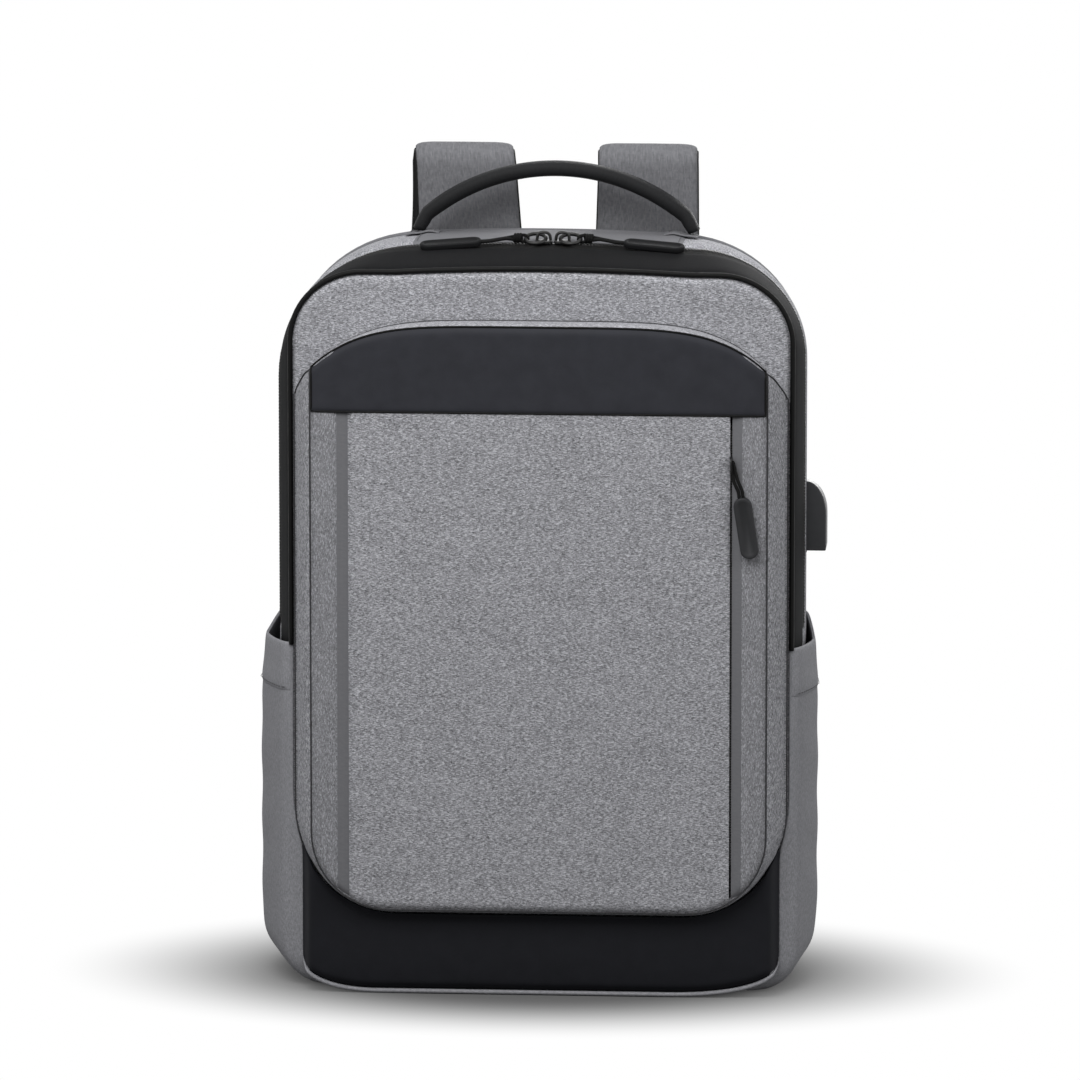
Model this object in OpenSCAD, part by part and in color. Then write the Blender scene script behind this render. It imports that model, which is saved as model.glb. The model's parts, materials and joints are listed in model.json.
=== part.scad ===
// Laptop backpack with an outside charging port, standing upright on its base.
// X runs across the bag, the front faces -Y and Z is up from the floor.

/* [Body] */
// Height of the bag at its zip line
body_h = 435; // [410:1:470]
// Width of the bag at its zip line
body_w = 309; // [296:1:330]
// Depth from the front panel's face to the back panel's face
body_d = 124; // [112:1:140]
// Width of the front panel
front_w = 290; // [282:1:300]
// Width of the back panel
back_w = 300; // [290:1:310]
// Drop of the front panel's top edge below the zip line
front_drop = 9; // [4:1:18]
// Drop of the back panel's top edge below the zip line
back_drop = 3; // [1:1:12]
// Radius of the front panel's upper corners
front_top_r = 42; // [36:1:60]
// Radius of the upper corners at the zip line
zip_top_r = 68; // [50:1:74]
// Radius of the back panel's upper corners
back_top_r = 66; // [50:1:74]
// Radius of the lower corners
low_r = 36; // [28:1:44]
// Thickness of the padded gusset walls
wall = 3; // [2:0.5:4]
// Thickness of the front and back panels
panel_t = 4; // [3:0.5:6]
// Thickness of the base slab
base_t = 4.7; // [3:0.1:7]
// Room left between sewn pieces
seam_gap = 0.3; // [0.2:0.1:0.5]
// Radius of the piping round the front panel
piping_r = 1.6; // [1:0.1:2]

/* [Main zip] */
// Depth position of the zip line
zip_y = -13; // [-18:1:-8]
// Width of each zip tape
tape_w = 5.8; // [5:0.1:7]
// Thickness of each zip tape
tape_t = 1.2; // [0.8:0.1:1.8]
// Gap between the two tapes
zip_gap = 2.4; // [2.2:0.1:3]
// Height at which the zip ends on both sides
zip_end_z = 211; // [180:1:240]
// Place across the bag where the two sliders meet
slider_meet_x = 4; // [-10:1:10]
// Length of a slider
slider_l = 10; // [8:0.5:12]
// Width of a slider
slider_w = 8; // [7:0.5:9]
// Thickness of a slider's plates
slider_t = 1.4; // [1:0.1:1.8]
// Clearance between a slider's plates and the tapes
slider_clear = 0.5; // [0.4:0.1:0.8]

/* [Pullers] */
// Radius of the bar that a pull ring turns on
bar_r = 0.9; // [0.7:0.1:1.2]
// Mean radius of a pull ring
ring_r = 5.5; // [4:0.5:7]
// Radius of the ring's wire
wire_r = 0.8; // [0.6:0.1:1]
// Radius of a pull cord
cord_r = 1; // [0.8:0.1:1.2]
// Distance from a slider's bar to its grip
grip_reach = 36; // [30:1:46]
// Length of a moulded grip
grip_l = 36; // [30:1:42]
// Width of a moulded grip
grip_w = 10.5; // [9:0.5:13]
// Thickness of a moulded grip
grip_t = 6; // [5.6:0.2:8]
// Height of a lying grip over the zip
grip_lift = 0.9; // [0.8:0.1:1.4]

/* [Front pocket] */
// Width of the pocket where it meets the front panel
pocket_w = 286; // [276:1:288]
// Lowest point of the pocket
pocket_z0 = 48; // [40:1:60]
// Highest point of the pocket
pocket_z1 = 396.5; // [388:0.5:404]
// Depth of the pocket's gusset
pocket_d = 22; // [14:1:30]
// How far the pocket draws in from its root to its front seam
pocket_draw = 10; // [5:1:12]
// Radius of the pocket's lower corners
pocket_low_r = 60; // [45:1:75]
// Fall of the arch from its middle to its ends at the root
root_fall = 44; // [36:1:60]
// Height of the front seam's arch over the root's
rim_rise = 0.5; // [-3:0.5:2]
// Fall of the arch from its middle to its ends at the front seam
rim_fall = 26; // [18:1:34]
// Thickness of the pocket's gusset
pocket_wall = 2.5; // [2:0.5:4]
// Thickness of the pocket's front panels
pocket_t = 2.7; // [2:0.1:4]
// Height of the upper trim's lower edge
trim_z = 345; // [335:1:352]
// Width of the central panel
centre_w = 221; // [200:1:228]
// Width of the slot over the concealed zip
slot_w = 2.5; // [2.4:0.1:3]
// Height of the pocket slider
pocket_slider_z = 318; // [300:1:326]
// Lean of the hanging grip
grip_lean = 8; // [0:1:12]
// Width of the lower trim
low_trim_w = 279; // [264:1:282]
// Lowest point of the lower trim
low_trim_z0 = 4; // [4:0.5:8]
// Thickness of the lower trim
low_trim_t = 14; // [6:1:18]

/* [Side pockets] */
// Distance of the side pockets' front edge from the front seam
side_front = 2.7; // [1:0.1:14]
// Distance of the side pockets' rear edge from the back seam
side_rear = 12.7; // [4:0.1:24]
// Bulge of the side pockets
side_bulge = 7; // [5.5:0.5:12]
// Thickness of the side pockets' cloth
side_wall = 2; // [1.5:0.5:3]
// Height of the hem at the pockets' mouths
hem_h = 30; // [20:1:40]
// Thickness of the hem
hem_t = 1.2; // [0.8:0.1:2]

/* [Charging port] */
// Height of the housing's underside
usb_z = 251.5; // [230:0.5:290]
// Height of the housing
usb_h = 41.5; // [36:0.5:50]
// How far the housing stands out
usb_p = 10.5; // [9.5:0.5:14]
// Width of the housing from front to back
usb_w = 24; // [20:1:30]
// Depth position of the housing's middle
usb_y = 14; // [10:1:24]
// Thickness of the opening in the socket
socket_h = 5.1; // [5:0.1:5.4]
// Width of the opening in the socket
socket_w = 12.5; // [12.4:0.1:12.8]
// Thickness of the socket's metal shell
socket_t = 0.3; // [0.2:0.1:0.5]
// Depth of the socket
socket_l = 18; // [15:1:22]

/* [Carry handle] */
// Half the distance between the handle's ends
handle_half = 76; // [66:1:82]
// Rise of the handle's middle over its ends
handle_rise = 27.5; // [20:0.5:40]
// Depth position of the handle
handle_y = 40; // [34:1:44]
// Width of the handle's tube
handle_w = 14; // [12:1:18]
// Height of the handle's tube
handle_t = 9; // [8:0.5:11]
// Radius of the handle's core
core_r = 2.2; // [1.5:0.1:2.8]

/* [Shoulder straps] */
// Distance of each strap from the middle
strap_x = 55; // [48:1:62]
// Width of a strap at its top
strap_w = 64; // [56:1:72]
// Width of a strap at its lower end
strap_end_w = 48; // [40:1:56]
// Thickness of a strap
strap_t = 8; // [6:0.5:10]
// Inner radius of the fold at the top
fold_r = 5; // [4:0.5:7]
// Height of the fold's centre over the back panel
strap_rise = 36; // [24:1:48]
// Height of a strap's lower end
strap_end_z = 122; // [112:1:160]
// Sideways sweep of the left strap
sweep_left = 92; // [40:1:96]
// Sideways sweep of the right strap
sweep_right = 45; // [20:1:60]
// Thickness of the mesh lining
mesh_t = 2.2; // [1.5:0.1:3]
// Width of the lower webbing
web_w = 25; // [20:1:30]
// Thickness of the lower webbing
web_t = 1.6; // [1.2:0.1:2]

/* [Back and inside] */
// Gap between the two back pads
pad_gap = 24; // [14:1:40]
// Distance of the back pads from the back panel's sides
pad_side = 32; // [24:1:44]
// Distance of the back pads from the strap ends above and the lumbar pad below
pad_space = 11; // [6:1:20]
// Width of the lumbar pad
lumbar_w = 200; // [170:1:230]
// Height of the lumbar pad
lumbar_h = 88; // [70:1:110]
// Distance of the lumbar pad from the bag's lowest seam
lumbar_lift = 25; // [15:1:40]
// Greatest thickness of the back pads
pad_t = 9.5; // [7:0.5:11]
// Thickness of the back pads at their edges
pad_edge = 4; // [3:0.5:6]
// Depth position of the laptop divider
divider_y = 34; // [26:1:38]
// Thickness of the laptop divider
divider_t = 6; // [4:0.5:8]
// Height of the laptop divider's top
divider_z = 330; // [300:1:350]
// Thickness of the stiffening board
board_t = 1.5; // [1:0.1:2.5]
// Distance of the stiffening board from the back panel's edge
board_inset = 30; // [20:1:34]

/* [Hidden] */
$fn = 48;
corner_steps = 8;
arch_steps = 18;
arch_power = 5;
left = -1;
right = 1;

melange = [0.52, 0.52, 0.53];
yoke_grey = [0.46, 0.46, 0.48];
coated = [0.2, 0.2, 0.22];
black_cloth = [0.12, 0.12, 0.13];
moulded = [0.1, 0.1, 0.11];
steel = [0.6, 0.6, 0.62];

// Depth positions of the shell's layers, from the front to the back.
front_y = -body_d / 2;
back_y = body_d / 2;
gusset_y0 = front_y + panel_t + seam_gap;
front_tape_y1 = zip_y - zip_gap / 2;
front_tape_y0 = front_tape_y1 - tape_w;
gusset_y1 = front_tape_y0 - seam_gap;
rear_tape_y0 = zip_y + zip_gap / 2;
rear_tape_y1 = rear_tape_y0 + tape_w;
rear_y0 = rear_tape_y1 + seam_gap;
rear_y1 = back_y - panel_t - seam_gap;
side_y0 = gusset_y0 + side_front;
side_y1 = rear_y1 - side_rear;
shell_z = base_t + seam_gap;

// Front pocket: half width, lowest point, highest point and fall of its two outlines.
pocket_root_y = front_y - seam_gap;
pocket_seam_y = pocket_root_y - pocket_d;
pocket_back_y = pocket_seam_y - seam_gap;
pocket_face_y = pocket_back_y - pocket_t;
rim_inset = pocket_draw / 3;
pocket_root = [pocket_w / 2, pocket_z0, pocket_z1, root_fall];
pocket_rim = [pocket_w / 2 - pocket_draw, pocket_z0 + rim_inset, pocket_z1 + rim_rise, rim_fall];
slot_x0 = centre_w / 2;
slot_x1 = slot_x0 + slot_w;
slot_x = (slot_x0 + slot_x1) / 2;
pocket_grip_y = pocket_face_y - seam_gap - grip_t / 2;
blade_t = slot_w - 1;
eye_wall = 1.1;
pocket_eye_play = 0.35;
pocket_eye_r = cord_r + pocket_eye_play;

// Main sliders and their pullers.
plate_z = body_h + slider_clear + slider_t;
cheek_t = 1;
eye_play = 0.06;
eye_t = 0.95;
ring_sunk = 0.6;
eye_bore = bar_r + eye_play;
eye_r = eye_bore + eye_t;
eye_w = slider_w - 2 * cheek_t - 1;
bar_lift = 0.4;
bar_z = plate_z + eye_r + bar_lift;
ring_x = eye_r - ring_sunk + wire_r + ring_r;
ring_far = ring_x + ring_r;
cord_play = 0.2;
cord_bend = wire_r + cord_r + cord_play;
grip_z = body_h + grip_lift + grip_t / 2;

// Straps: the fold's centre and the hanging part's faces.
riser_y0 = back_y + seam_gap;
fold_y = riser_y0 + strap_t + fold_r;
strap_in_y = fold_y + fold_r;
fold_z = body_h - back_drop + strap_rise;
fold_start = 25;
riser_sewn = 26;
riser_h = strap_rise + riser_sewn;
lock_h = 34;
lock_t = 5;
lock_z1 = strap_end_z - seam_gap;
lock_z0 = lock_z1 - lock_h;
lock_y0 = strap_in_y + (strap_t - lock_t) / 2;
anchor_t = 2;
anchor_side = 16;
anchor_lift = 20;
anchor_h = 28;
anchor_x = back_w / 2 - anchor_side;
anchor_z0 = shell_z + anchor_lift;
anchor_z1 = anchor_z0 + anchor_h;

// Handle.
yoke_t = 1.2;
tab_t = 1.5;
tab_lift = 2 * seam_gap + yoke_t;
knuckle_r = handle_w / 2;
handle_z = top_z(handle_y) + tab_lift + tab_t + 1.1 * seam_gap + knuckle_r;
handle_r = (handle_half * handle_half + handle_rise * handle_rise) / (2 * handle_rise);
handle_angle = asin(handle_half / handle_r);

// Charging port.
usb_x = max(half_w(usb_y - usb_w / 2), half_w(usb_y + usb_w / 2)) + seam_gap;
plate_x = min(half_w(usb_y - usb_w / 2), half_w(usb_y + usb_w / 2)) - wall - seam_gap;
socket_x = usb_x + usb_p / 2;

function mix(a, b, t) = a + (b - a) * t;

function smooth(t) = t * t * (3 - 2 * t);

// Half width of the shell at a depth: widest at the zip line.
function half_w(y) = y < zip_y
  ? mix(front_w, body_w, (y - front_y) / (zip_y - front_y)) / 2
  : mix(body_w, back_w, (y - zip_y) / (back_y - zip_y)) / 2;

// Height of the shell's top at a depth: highest at the zip line.
function top_z(y) = y < zip_y
  ? body_h - front_drop * (zip_y - y) / (zip_y - front_y)
  : body_h - back_drop * (y - zip_y) / (back_y - zip_y);

// Radius of the shell's upper corners at a depth.
function corner_r(y) = y < zip_y
  ? mix(front_top_r, zip_top_r, (y - front_y) / (zip_y - front_y))
  : mix(zip_top_r, back_top_r, (y - zip_y) / (back_y - zip_y));

function arc(cx, cz, r, a0, a1) = [
  for (i = [0:corner_steps])
    let (a = mix(a0, a1, i / corner_steps))
    [cx + r * cos(a), cz + r * sin(a)]
];

function top_arcs(hw, z1, r) = concat(arc(hw - r, z1 - r, r, 0, 90), arc(r - hw, z1 - r, r, 90, 180));

function low_arcs(hw, z0, r) = concat(arc(r - hw, z0 + r, r, 180, 270), arc(hw - r, z0 + r, r, 270, 360));

// Closed outline of the shell at a depth, drawn in by an inset.
function ring_path(y, inset) = concat(
  top_arcs(half_w(y) - inset, top_z(y) - inset, corner_r(y) - inset),
  low_arcs(half_w(y) - inset, shell_z + inset, low_r - inset)
);

// The part of the outline over the bag, from one end of the zip to the other.
function over_path(y, inset) = let (hw = half_w(y) - inset) concat(
  [[hw, zip_end_z]],
  top_arcs(hw, top_z(y) - inset, corner_r(y) - inset),
  [[-hw, zip_end_z]]
);

// The part of the outline under the bag, from one end of the zip to the other.
function under_path(y, inset) = let (hw = half_w(y) - inset, z_end = zip_end_z - seam_gap) concat(
  [[-hw, z_end]],
  low_arcs(hw, shell_z + inset, low_r - inset),
  [[hw, z_end]]
);

// Outline of the front pocket: an arched top and round lower corners.
function pocket_path(s, inset) = let (hw = s[0] - inset) concat(
  [for (i = [0:arch_steps])
    let (u = cos(180 * i / arch_steps))
    [hw * u, s[2] - inset - s[3] * pow(abs(u), arch_power)]],
  low_arcs(hw, s[1] + inset, pocket_low_r - inset)
);

function at_y(path, y) = [for (p = path) [p[0], y, p[1]]];

// Triangles over a grid of points, counted from a first index.
function grid_faces(rows, cols, first, flip, wrap_rows = false, wrap_cols = false) = [
  for (i = [0:rows - (wrap_rows ? 1 : 2)], j = [0:cols - (wrap_cols ? 1 : 2)])
    let (
      i1 = (i + 1) % rows,
      j1 = (j + 1) % cols,
      a = first + i * cols + j,
      b = first + i1 * cols + j,
      c = first + i1 * cols + j1,
      d = first + i * cols + j1
    )
    each flip ? [[a, b, c], [a, c, d]] : [[a, c, b], [a, d, c]]
];

// Triangles of a strip that joins two rows of point numbers.
function strip_faces(p, q, flip, wrap) = [
  for (k = [0:len(p) - (wrap ? 1 : 2)])
    let (n = (k + 1) % len(p))
    each flip ? [[p[k], q[k], q[n]], [p[k], q[n], p[n]]] : [[p[k], q[n], q[k]], [p[k], p[n], q[n]]]
];

// A sheet of cloth between two grids of points, one for each face.
module thick_sheet(face, back, closed = false) {
  rows = len(face);
  cols = len(face[0]);
  count = rows * cols;
  m = floor((cols - 1) / 2);
  across = cross(face[1][m] - face[0][m], face[0][m + 1] - face[0][m]);
  flip = across * (face[0][m] - back[0][m]) < 0;
  first_row = [for (j = [0:cols - 1]) j];
  last_row = [for (j = first_row) j + count - cols];
  first_col = [for (i = [0:rows - 1]) i * cols];
  last_col = [for (i = first_col) i + cols - 1];
  to_back = function (row) [for (k = row) k + count];
  edges = concat(
    strip_faces(first_row, to_back(first_row), !flip, closed),
    strip_faces(last_row, to_back(last_row), flip, closed),
    closed ? [] : strip_faces(first_col, to_back(first_col), flip, false),
    closed ? [] : strip_faces(last_col, to_back(last_col), !flip, false)
  );
  polyhedron(
    points = concat([for (row = face) each row], [for (row = back) each row]),
    faces = concat(
      grid_faces(rows, cols, 0, flip, false, closed),
      grid_faces(rows, cols, count, !flip, false, closed),
      edges
    ),
    convexity = 8
  );
}

// A tube whose rings lie along a path in an XZ plane.
module tube(path, y, r, sides = 8) {
  n = len(path);
  rings = [
    for (i = [0:n - 1])
      let (
        d = path[min(i + 1, n - 1)] - path[max(i - 1, 0)],
        t = d / norm(d),
        q = [-t[1], t[0]]
      )
      for (k = [0:sides - 1])
        let (a = 360 * k / sides, c = path[i] + q * r * cos(a))
        [c[0], y + r * sin(a), c[1]]
  ];
  polyhedron(
    points = rings,
    faces = concat(
      grid_faces(n, sides, 0, false, false, true),
      [[for (k = [sides - 1:-1:0]) k]],
      [[for (k = [0:sides - 1]) (n - 1) * sides + k]]
    ),
    convexity = 6
  );
}

// A flat piece cut to an XZ outline, between two depths.
module flat_piece(path, y0, y1) {
  translate([0, y1, 0])
    rotate([90, 0, 0])
      linear_extrude(y1 - y0)
        polygon(path);
}

// A box given by its two corners.
module block(low, high) {
  translate(low)
    cube(high - low);
}

// A thin patch that lies on the sloping top of the shell.
module top_patch(x0, x1, y0, y1, lift, t) {
  face = [for (y = [y0, y1]) [for (x = [x0, x1]) [x, y, top_z(y) + lift + t]]];
  back = [for (y = [y0, y1]) [for (x = [x0, x1]) [x, y, top_z(y) + lift]]];
  thick_sheet(face, back);
}

// A crowned pad on the back panel.
module pad(x0, x1, z0, z1) {
  steps = 10;
  back_face_y = back_y + seam_gap;
  crown = function (k) 1 - pow(abs(2 * k / steps - 1), 4);
  face = [
    for (i = [0:steps]) [
      for (k = [0:steps])
        [
          mix(x0, x1, k / steps),
          back_face_y + pad_edge + (pad_t - pad_edge) * crown(i) * crown(k),
          mix(z0, z1, i / steps)
        ]
    ]
  ];
  back = [for (row = face) [for (p = row) [p[0], back_face_y, p[2]]]];
  thick_sheet(face, back);
}

// Back and base

module back_panel()
  color(black_cloth)
    flat_piece(ring_path(back_y, 0), back_y - panel_t, back_y);

module back_board() {
  board_y1 = back_y - panel_t - seam_gap;
  color("dimgray")
    flat_piece(ring_path(back_y, board_inset), board_y1 - board_t, board_y1);
}

pad_outer = back_w / 2 - pad_side;
lumbar_z0 = shell_z + lumbar_lift;
lumbar_z1 = lumbar_z0 + lumbar_h;
pad_z1 = fold_z - riser_h - pad_space;

module back_pad_right()
  color(black_cloth)
    pad(pad_gap / 2, pad_outer, lumbar_z1 + pad_space, pad_z1);

module back_pad_left()
  mirror([1, 0, 0])
    back_pad_right();

module lumbar_pad()
  color(black_cloth)
    pad(-lumbar_w / 2, lumbar_w / 2, lumbar_z0, lumbar_z1);

module rear_gusset() {
  depths = [rear_y0, rear_y1];
  color(melange)
    thick_sheet(
      [for (y = depths) at_y(ring_path(y, 0), y)],
      [for (y = depths) at_y(ring_path(y, wall), y)],
      closed = true
    );
}

module lower_gusset() {
  depths = [gusset_y0, zip_y, rear_y0 - seam_gap];
  color(melange)
    thick_sheet(
      [for (y = depths) at_y(under_path(y, 0), y)],
      [for (y = depths) at_y(under_path(y, wall), y)]
    );
}

yoke_half = 79;

module top_yoke()
  color(yoke_grey)
    top_patch(-yoke_half, yoke_half, rear_y0, rear_y1, seam_gap, yoke_t);

module bottom_panel() {
  base_reach = 9;
  base_half = front_w / 2 - low_r + base_reach;
  base_inset = panel_t + 1;
  color(black_cloth)
    block(
      [-base_half, front_y + base_inset, 0],
      [base_half, back_y - base_inset, base_t]
    );
}

// Inside

module laptop_divider() {
  y1 = divider_y + divider_t;
  inset = wall + seam_gap;
  top_corner_r = 20;
  hw = half_w(y1) - inset;
  color("slategray")
    flat_piece(
      concat(top_arcs(hw, divider_z, top_corner_r), low_arcs(hw, shell_z + inset, low_r - inset)),
      divider_y, y1
    );
}

bank_x0 = 62;
bank_w = 74;
bank_d = 20;
bank_h = 100;
bank_wall = 1.6;
bank_drop = 10;

module power_bank_pocket() {
  y1 = divider_y - seam_gap;
  z1 = usb_z - bank_drop;
  low = [bank_x0, y1 - bank_d, z1 - bank_h];
  high = [bank_x0 + bank_w, y1, z1];
  rim = [bank_wall, bank_wall, bank_wall];
  color("slategray")
    difference() {
      block(low, high);
      block(low + rim, high - rim + [0, 0, 2 * bank_wall]);
    }
}

// Side pockets

side_depths = concat(
  [for (i = [0:4]) mix(side_y0, zip_y, i / 4)],
  [for (i = [1:5]) mix(zip_y, side_y1, i / 5)]
);
side_top = zip_end_z - seam_gap;
side_first_step = 2;

// How far the lower corner draws the side in at a height.
function corner_inset(z) = let (d = shell_z + low_r - z)
  d > 0 ? low_r - sqrt(low_r * low_r - d * d) : 0;

// Outer face of the right side pocket.
function side_x(y, z) =
  let (
    u = (2 * y - side_y0 - side_y1) / (side_y1 - side_y0),
    v = min(1, (z - shell_z) / (1.6 * low_r))
  )
  half_w(y) - corner_inset(z) + seam_gap + side_wall + side_bulge * cos(90 * u) * sin(90 * v);

// A sheet over the right side at some heights, standing off the pocket's face.
module side_sheet(levels, off, t) {
  face = [for (z = levels) [for (y = side_depths) [side_x(y, z) + off + t, y, z]]];
  back = [for (z = levels) [for (y = side_depths) [side_x(y, z) + off, y, z]]];
  thick_sheet(face, back);
}

corner_levels = [
  for (i = [side_first_step:corner_steps])
    shell_z + low_r * (1 - cos(90 * i / corner_steps))
];
upper_levels = [for (i = [1:5]) mix(shell_z + low_r, side_top, i / 5)];

module side_pocket_right()
  color(melange)
    side_sheet(concat(corner_levels, upper_levels), -side_wall, side_wall);

module side_pocket_left()
  mirror([1, 0, 0])
    side_pocket_right();

module side_pocket_hem_right()
  color(melange)
    side_sheet([side_top - hem_h, side_top - hem_h / 2, side_top], seam_gap, hem_t);

module side_pocket_hem_left()
  mirror([1, 0, 0])
    side_pocket_hem_right();

// Charging port

socket_play = 0.1;
socket_room = [socket_h + 2 * socket_t, socket_w + 2 * socket_t] + 2 * [socket_play, socket_play];
socket_depth = socket_l + 2;
socket_set = 0.5;

module usb_port_housing() {
  edge_r = 1.5;
  profile = concat(
    [[usb_x, usb_z], [usb_x + usb_p - edge_r, usb_z]],
    arc(usb_x + usb_p - edge_r, usb_z + edge_r, edge_r, 270, 360),
    arc(usb_x, usb_z + usb_h - usb_p, usb_p, 0, 90)
  );
  color(moulded)
    difference() {
      flat_piece(profile, usb_y - usb_w / 2, usb_y + usb_w / 2);
      block(
        [socket_x - socket_room[0] / 2, usb_y - socket_room[1] / 2, usb_z - 1],
        [socket_x + socket_room[0] / 2, usb_y + socket_room[1] / 2, usb_z + socket_depth]
      );
    }
}

module usb_socket_shell() {
  low = [socket_x - socket_h / 2, usb_y - socket_w / 2, usb_z + socket_set];
  high = [socket_x + socket_h / 2, usb_y + socket_w / 2, usb_z + socket_l];
  rim = [socket_t, socket_t, 0];
  color(steel)
    difference() {
      block(low - rim, high + rim);
      block(low - [0, 0, 1], high + [0, 0, 1]);
    }
}

module usb_contact_tongue() {
  tongue_t = 1.84;
  tongue_w = 11.1;
  tongue_set = 3;
  x0 = socket_x + 0.4;
  color("whitesmoke")
    block(
      [x0, usb_y - tongue_w / 2, usb_z + tongue_set],
      [x0 + tongue_t, usb_y + tongue_w / 2, usb_z + socket_depth]
    );
}

module usb_back_plate() {
  plate_t = 2;
  margin = 3;
  color(moulded)
    block(
      [plate_x - plate_t, usb_y - usb_w / 2, usb_z + margin],
      [plate_x, usb_y + usb_w / 2, usb_z + usb_h - margin]
    );
}

// Carry handle

tab_w = 20;
tab_d = 20;

module handle_tab(side)
  color(black_cloth)
    top_patch(
      side * handle_half - tab_w / 2, side * handle_half + tab_w / 2,
      handle_y - tab_d / 2, handle_y + tab_d / 2,
      tab_lift, tab_t
    );

module handle_tab_left()
  handle_tab(left);

module handle_tab_right()
  handle_tab(right);

// The arched sweep of a handle section about the handle's own centre.
module handle_arc(spread) {
  translate([0, handle_y, handle_z + handle_rise - handle_r])
    rotate([90, 0, 0])
      rotate([0, 0, 90 - spread])
        rotate_extrude(angle = 2 * spread, $fn = 180)
          translate([handle_r, 0])
            children();
}

// A rounded section of the handle's tube.
module handle_section() {
  square([handle_t, handle_w - handle_t], center = true);
  for (side = [left, right])
    translate([0, side * (handle_w - handle_t) / 2])
      circle(d = handle_t);
}

// Angle of the tube's arc that holds no core, at each end.
core_end = 5;

module carry_handle() {
  knuckle_l = 13;
  color(black_cloth)
    difference() {
      union() {
        handle_arc(handle_angle)
          handle_section();
        for (side = [left, right])
          translate([side * handle_half, handle_y, handle_z])
            rotate([0, 90, 0])
              cylinder(r = knuckle_r, h = knuckle_l, center = true);
      }
      handle_arc(handle_angle - core_end)
        circle(r = core_r + seam_gap);
    }
}

module handle_core()
  color("white")
    handle_arc(handle_angle - core_end - 1)
      circle(r = core_r);

// Shoulder straps

// Sideways shift and width of a strap, from 0 at its fold to 1 at its lower end.
function strap_mid(side, s) = side * (strap_x + smooth(s) * (side == left ? sweep_left : sweep_right));

function strap_width(s) = mix(strap_w, strap_end_w, s);

// Rows of points along a strap's face, at a radius round the fold and then straight down.
function strap_rows(side, radius) = concat(
  [for (i = [0:8])
    let (a = mix(fold_start, 180, i / 8))
    strap_row(side, 0, 0, fold_y - radius * cos(a), fold_z + radius * sin(a))],
  [for (i = [1:14])
    let (s = i / 14)
    strap_row(side, s, 0, fold_y + radius, mix(fold_z, strap_end_z, s))]
);

function strap_row(side, s, margin, y, z) = [
  for (k = [-1, 0, 1])
    [strap_mid(side, s) + k * (strap_width(s) / 2 - margin), y, z]
];

module strap_riser(side)
  color(melange)
    block(
      [side * strap_x - strap_w / 2, riser_y0, fold_z - riser_h],
      [side * strap_x + strap_w / 2, riser_y0 + strap_t, fold_z]
    );

module strap_riser_left()
  strap_riser(left);

module strap_riser_right()
  strap_riser(right);

module shoulder_strap(side)
  color(melange)
    thick_sheet(strap_rows(side, fold_r + strap_t), strap_rows(side, fold_r));

module shoulder_strap_left()
  shoulder_strap(left);

module shoulder_strap_right()
  shoulder_strap(right);

module strap_mesh(side) {
  margin = 2;
  y1 = strap_in_y - seam_gap;
  rows = function (y) [
    for (i = [0:12])
      let (s = mix(0.03, 0.97, i / 12))
      strap_row(side, s, margin, y, mix(fold_z, strap_end_z, s))
  ];
  color(black_cloth)
    thick_sheet(rows(y1), rows(y1 - mesh_t));
}

module strap_mesh_left()
  strap_mesh(left);

module strap_mesh_right()
  strap_mesh(right);

module ladder_lock(side) {
  rail = 4;
  web_play = 1;
  slot_h = 6;
  slot_shares = [0.28, 0.72];
  slot = [web_w + web_play, 2 * lock_t, slot_h];
  lock_w = slot[0] + 2 * rail;
  mid_x = strap_mid(side, 1);
  mid_y = lock_y0 + lock_t / 2;
  color(moulded)
    difference() {
      block([mid_x - lock_w / 2, lock_y0, lock_z0], [mid_x + lock_w / 2, lock_y0 + lock_t, lock_z1]);
      for (share = slot_shares)
        translate([mid_x, mid_y, mix(lock_z0, lock_z1, share)])
          cube(slot, center = true);
    }
}

module ladder_lock_left()
  ladder_lock(left);

module ladder_lock_right()
  ladder_lock(right);

module webbing_anchor(side) {
  half = web_w / 2 + 4;
  tip = 8;
  mid = side * anchor_x;
  color(black_cloth)
    flat_piece(
      [
        [mid - half, anchor_z0], [mid + half, anchor_z0],
        [mid + half, anchor_z1 - tip], [mid + half - tip, anchor_z1],
        [mid - half + tip, anchor_z1], [mid - half, anchor_z1 - tip]
      ],
      back_y + seam_gap, back_y + seam_gap + anchor_t
    );
}

module webbing_anchor_left()
  webbing_anchor(left);

module webbing_anchor_right()
  webbing_anchor(right);

// The webbing lies on its anchor, crosses to the buckle and lies under it.
module strap_webbing(side) {
  low_y = back_y + 2 * seam_gap + anchor_t;
  high_y = lock_y0 - seam_gap - web_t;
  low_x = side * anchor_x;
  high_x = strap_mid(side, 1);
  margin = 4;
  row = function (x, y, z) [for (k = [-1, 1]) [x + k * web_w / 2, y, z]];
  rows = function (off) [
    row(low_x, low_y + off, anchor_z0 + margin),
    row(low_x, low_y + off, anchor_z1),
    row(mix(low_x, high_x, 0.5), mix(low_y, high_y, 0.5) + off, mix(anchor_z1, lock_z0, 0.5)),
    row(high_x, high_y + off, lock_z0),
    row(high_x, high_y + off, lock_z1 - margin)
  ];
  color(black_cloth)
    thick_sheet(rows(web_t), rows(0));
}

module strap_webbing_left()
  strap_webbing(left);

module strap_webbing_right()
  strap_webbing(right);

// Front half

module front_panel()
  color(melange)
    flat_piece(ring_path(front_y, 0), front_y, front_y + panel_t);

module front_piping() {
  sides = 6;
  rings = [
    for (k = [0:sides - 1])
      let (a = 360 * k / sides, out = seam_gap + piping_r * (1 + cos(a)))
      at_y(ring_path(front_y, -out), front_y + panel_t / 2 + piping_r * sin(a))
  ];
  color(black_cloth)
    polyhedron(
      points = [for (ring = rings) each ring],
      faces = grid_faces(sides, len(rings[0]), 0, false, true, true),
      convexity = 6
    );
}

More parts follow.
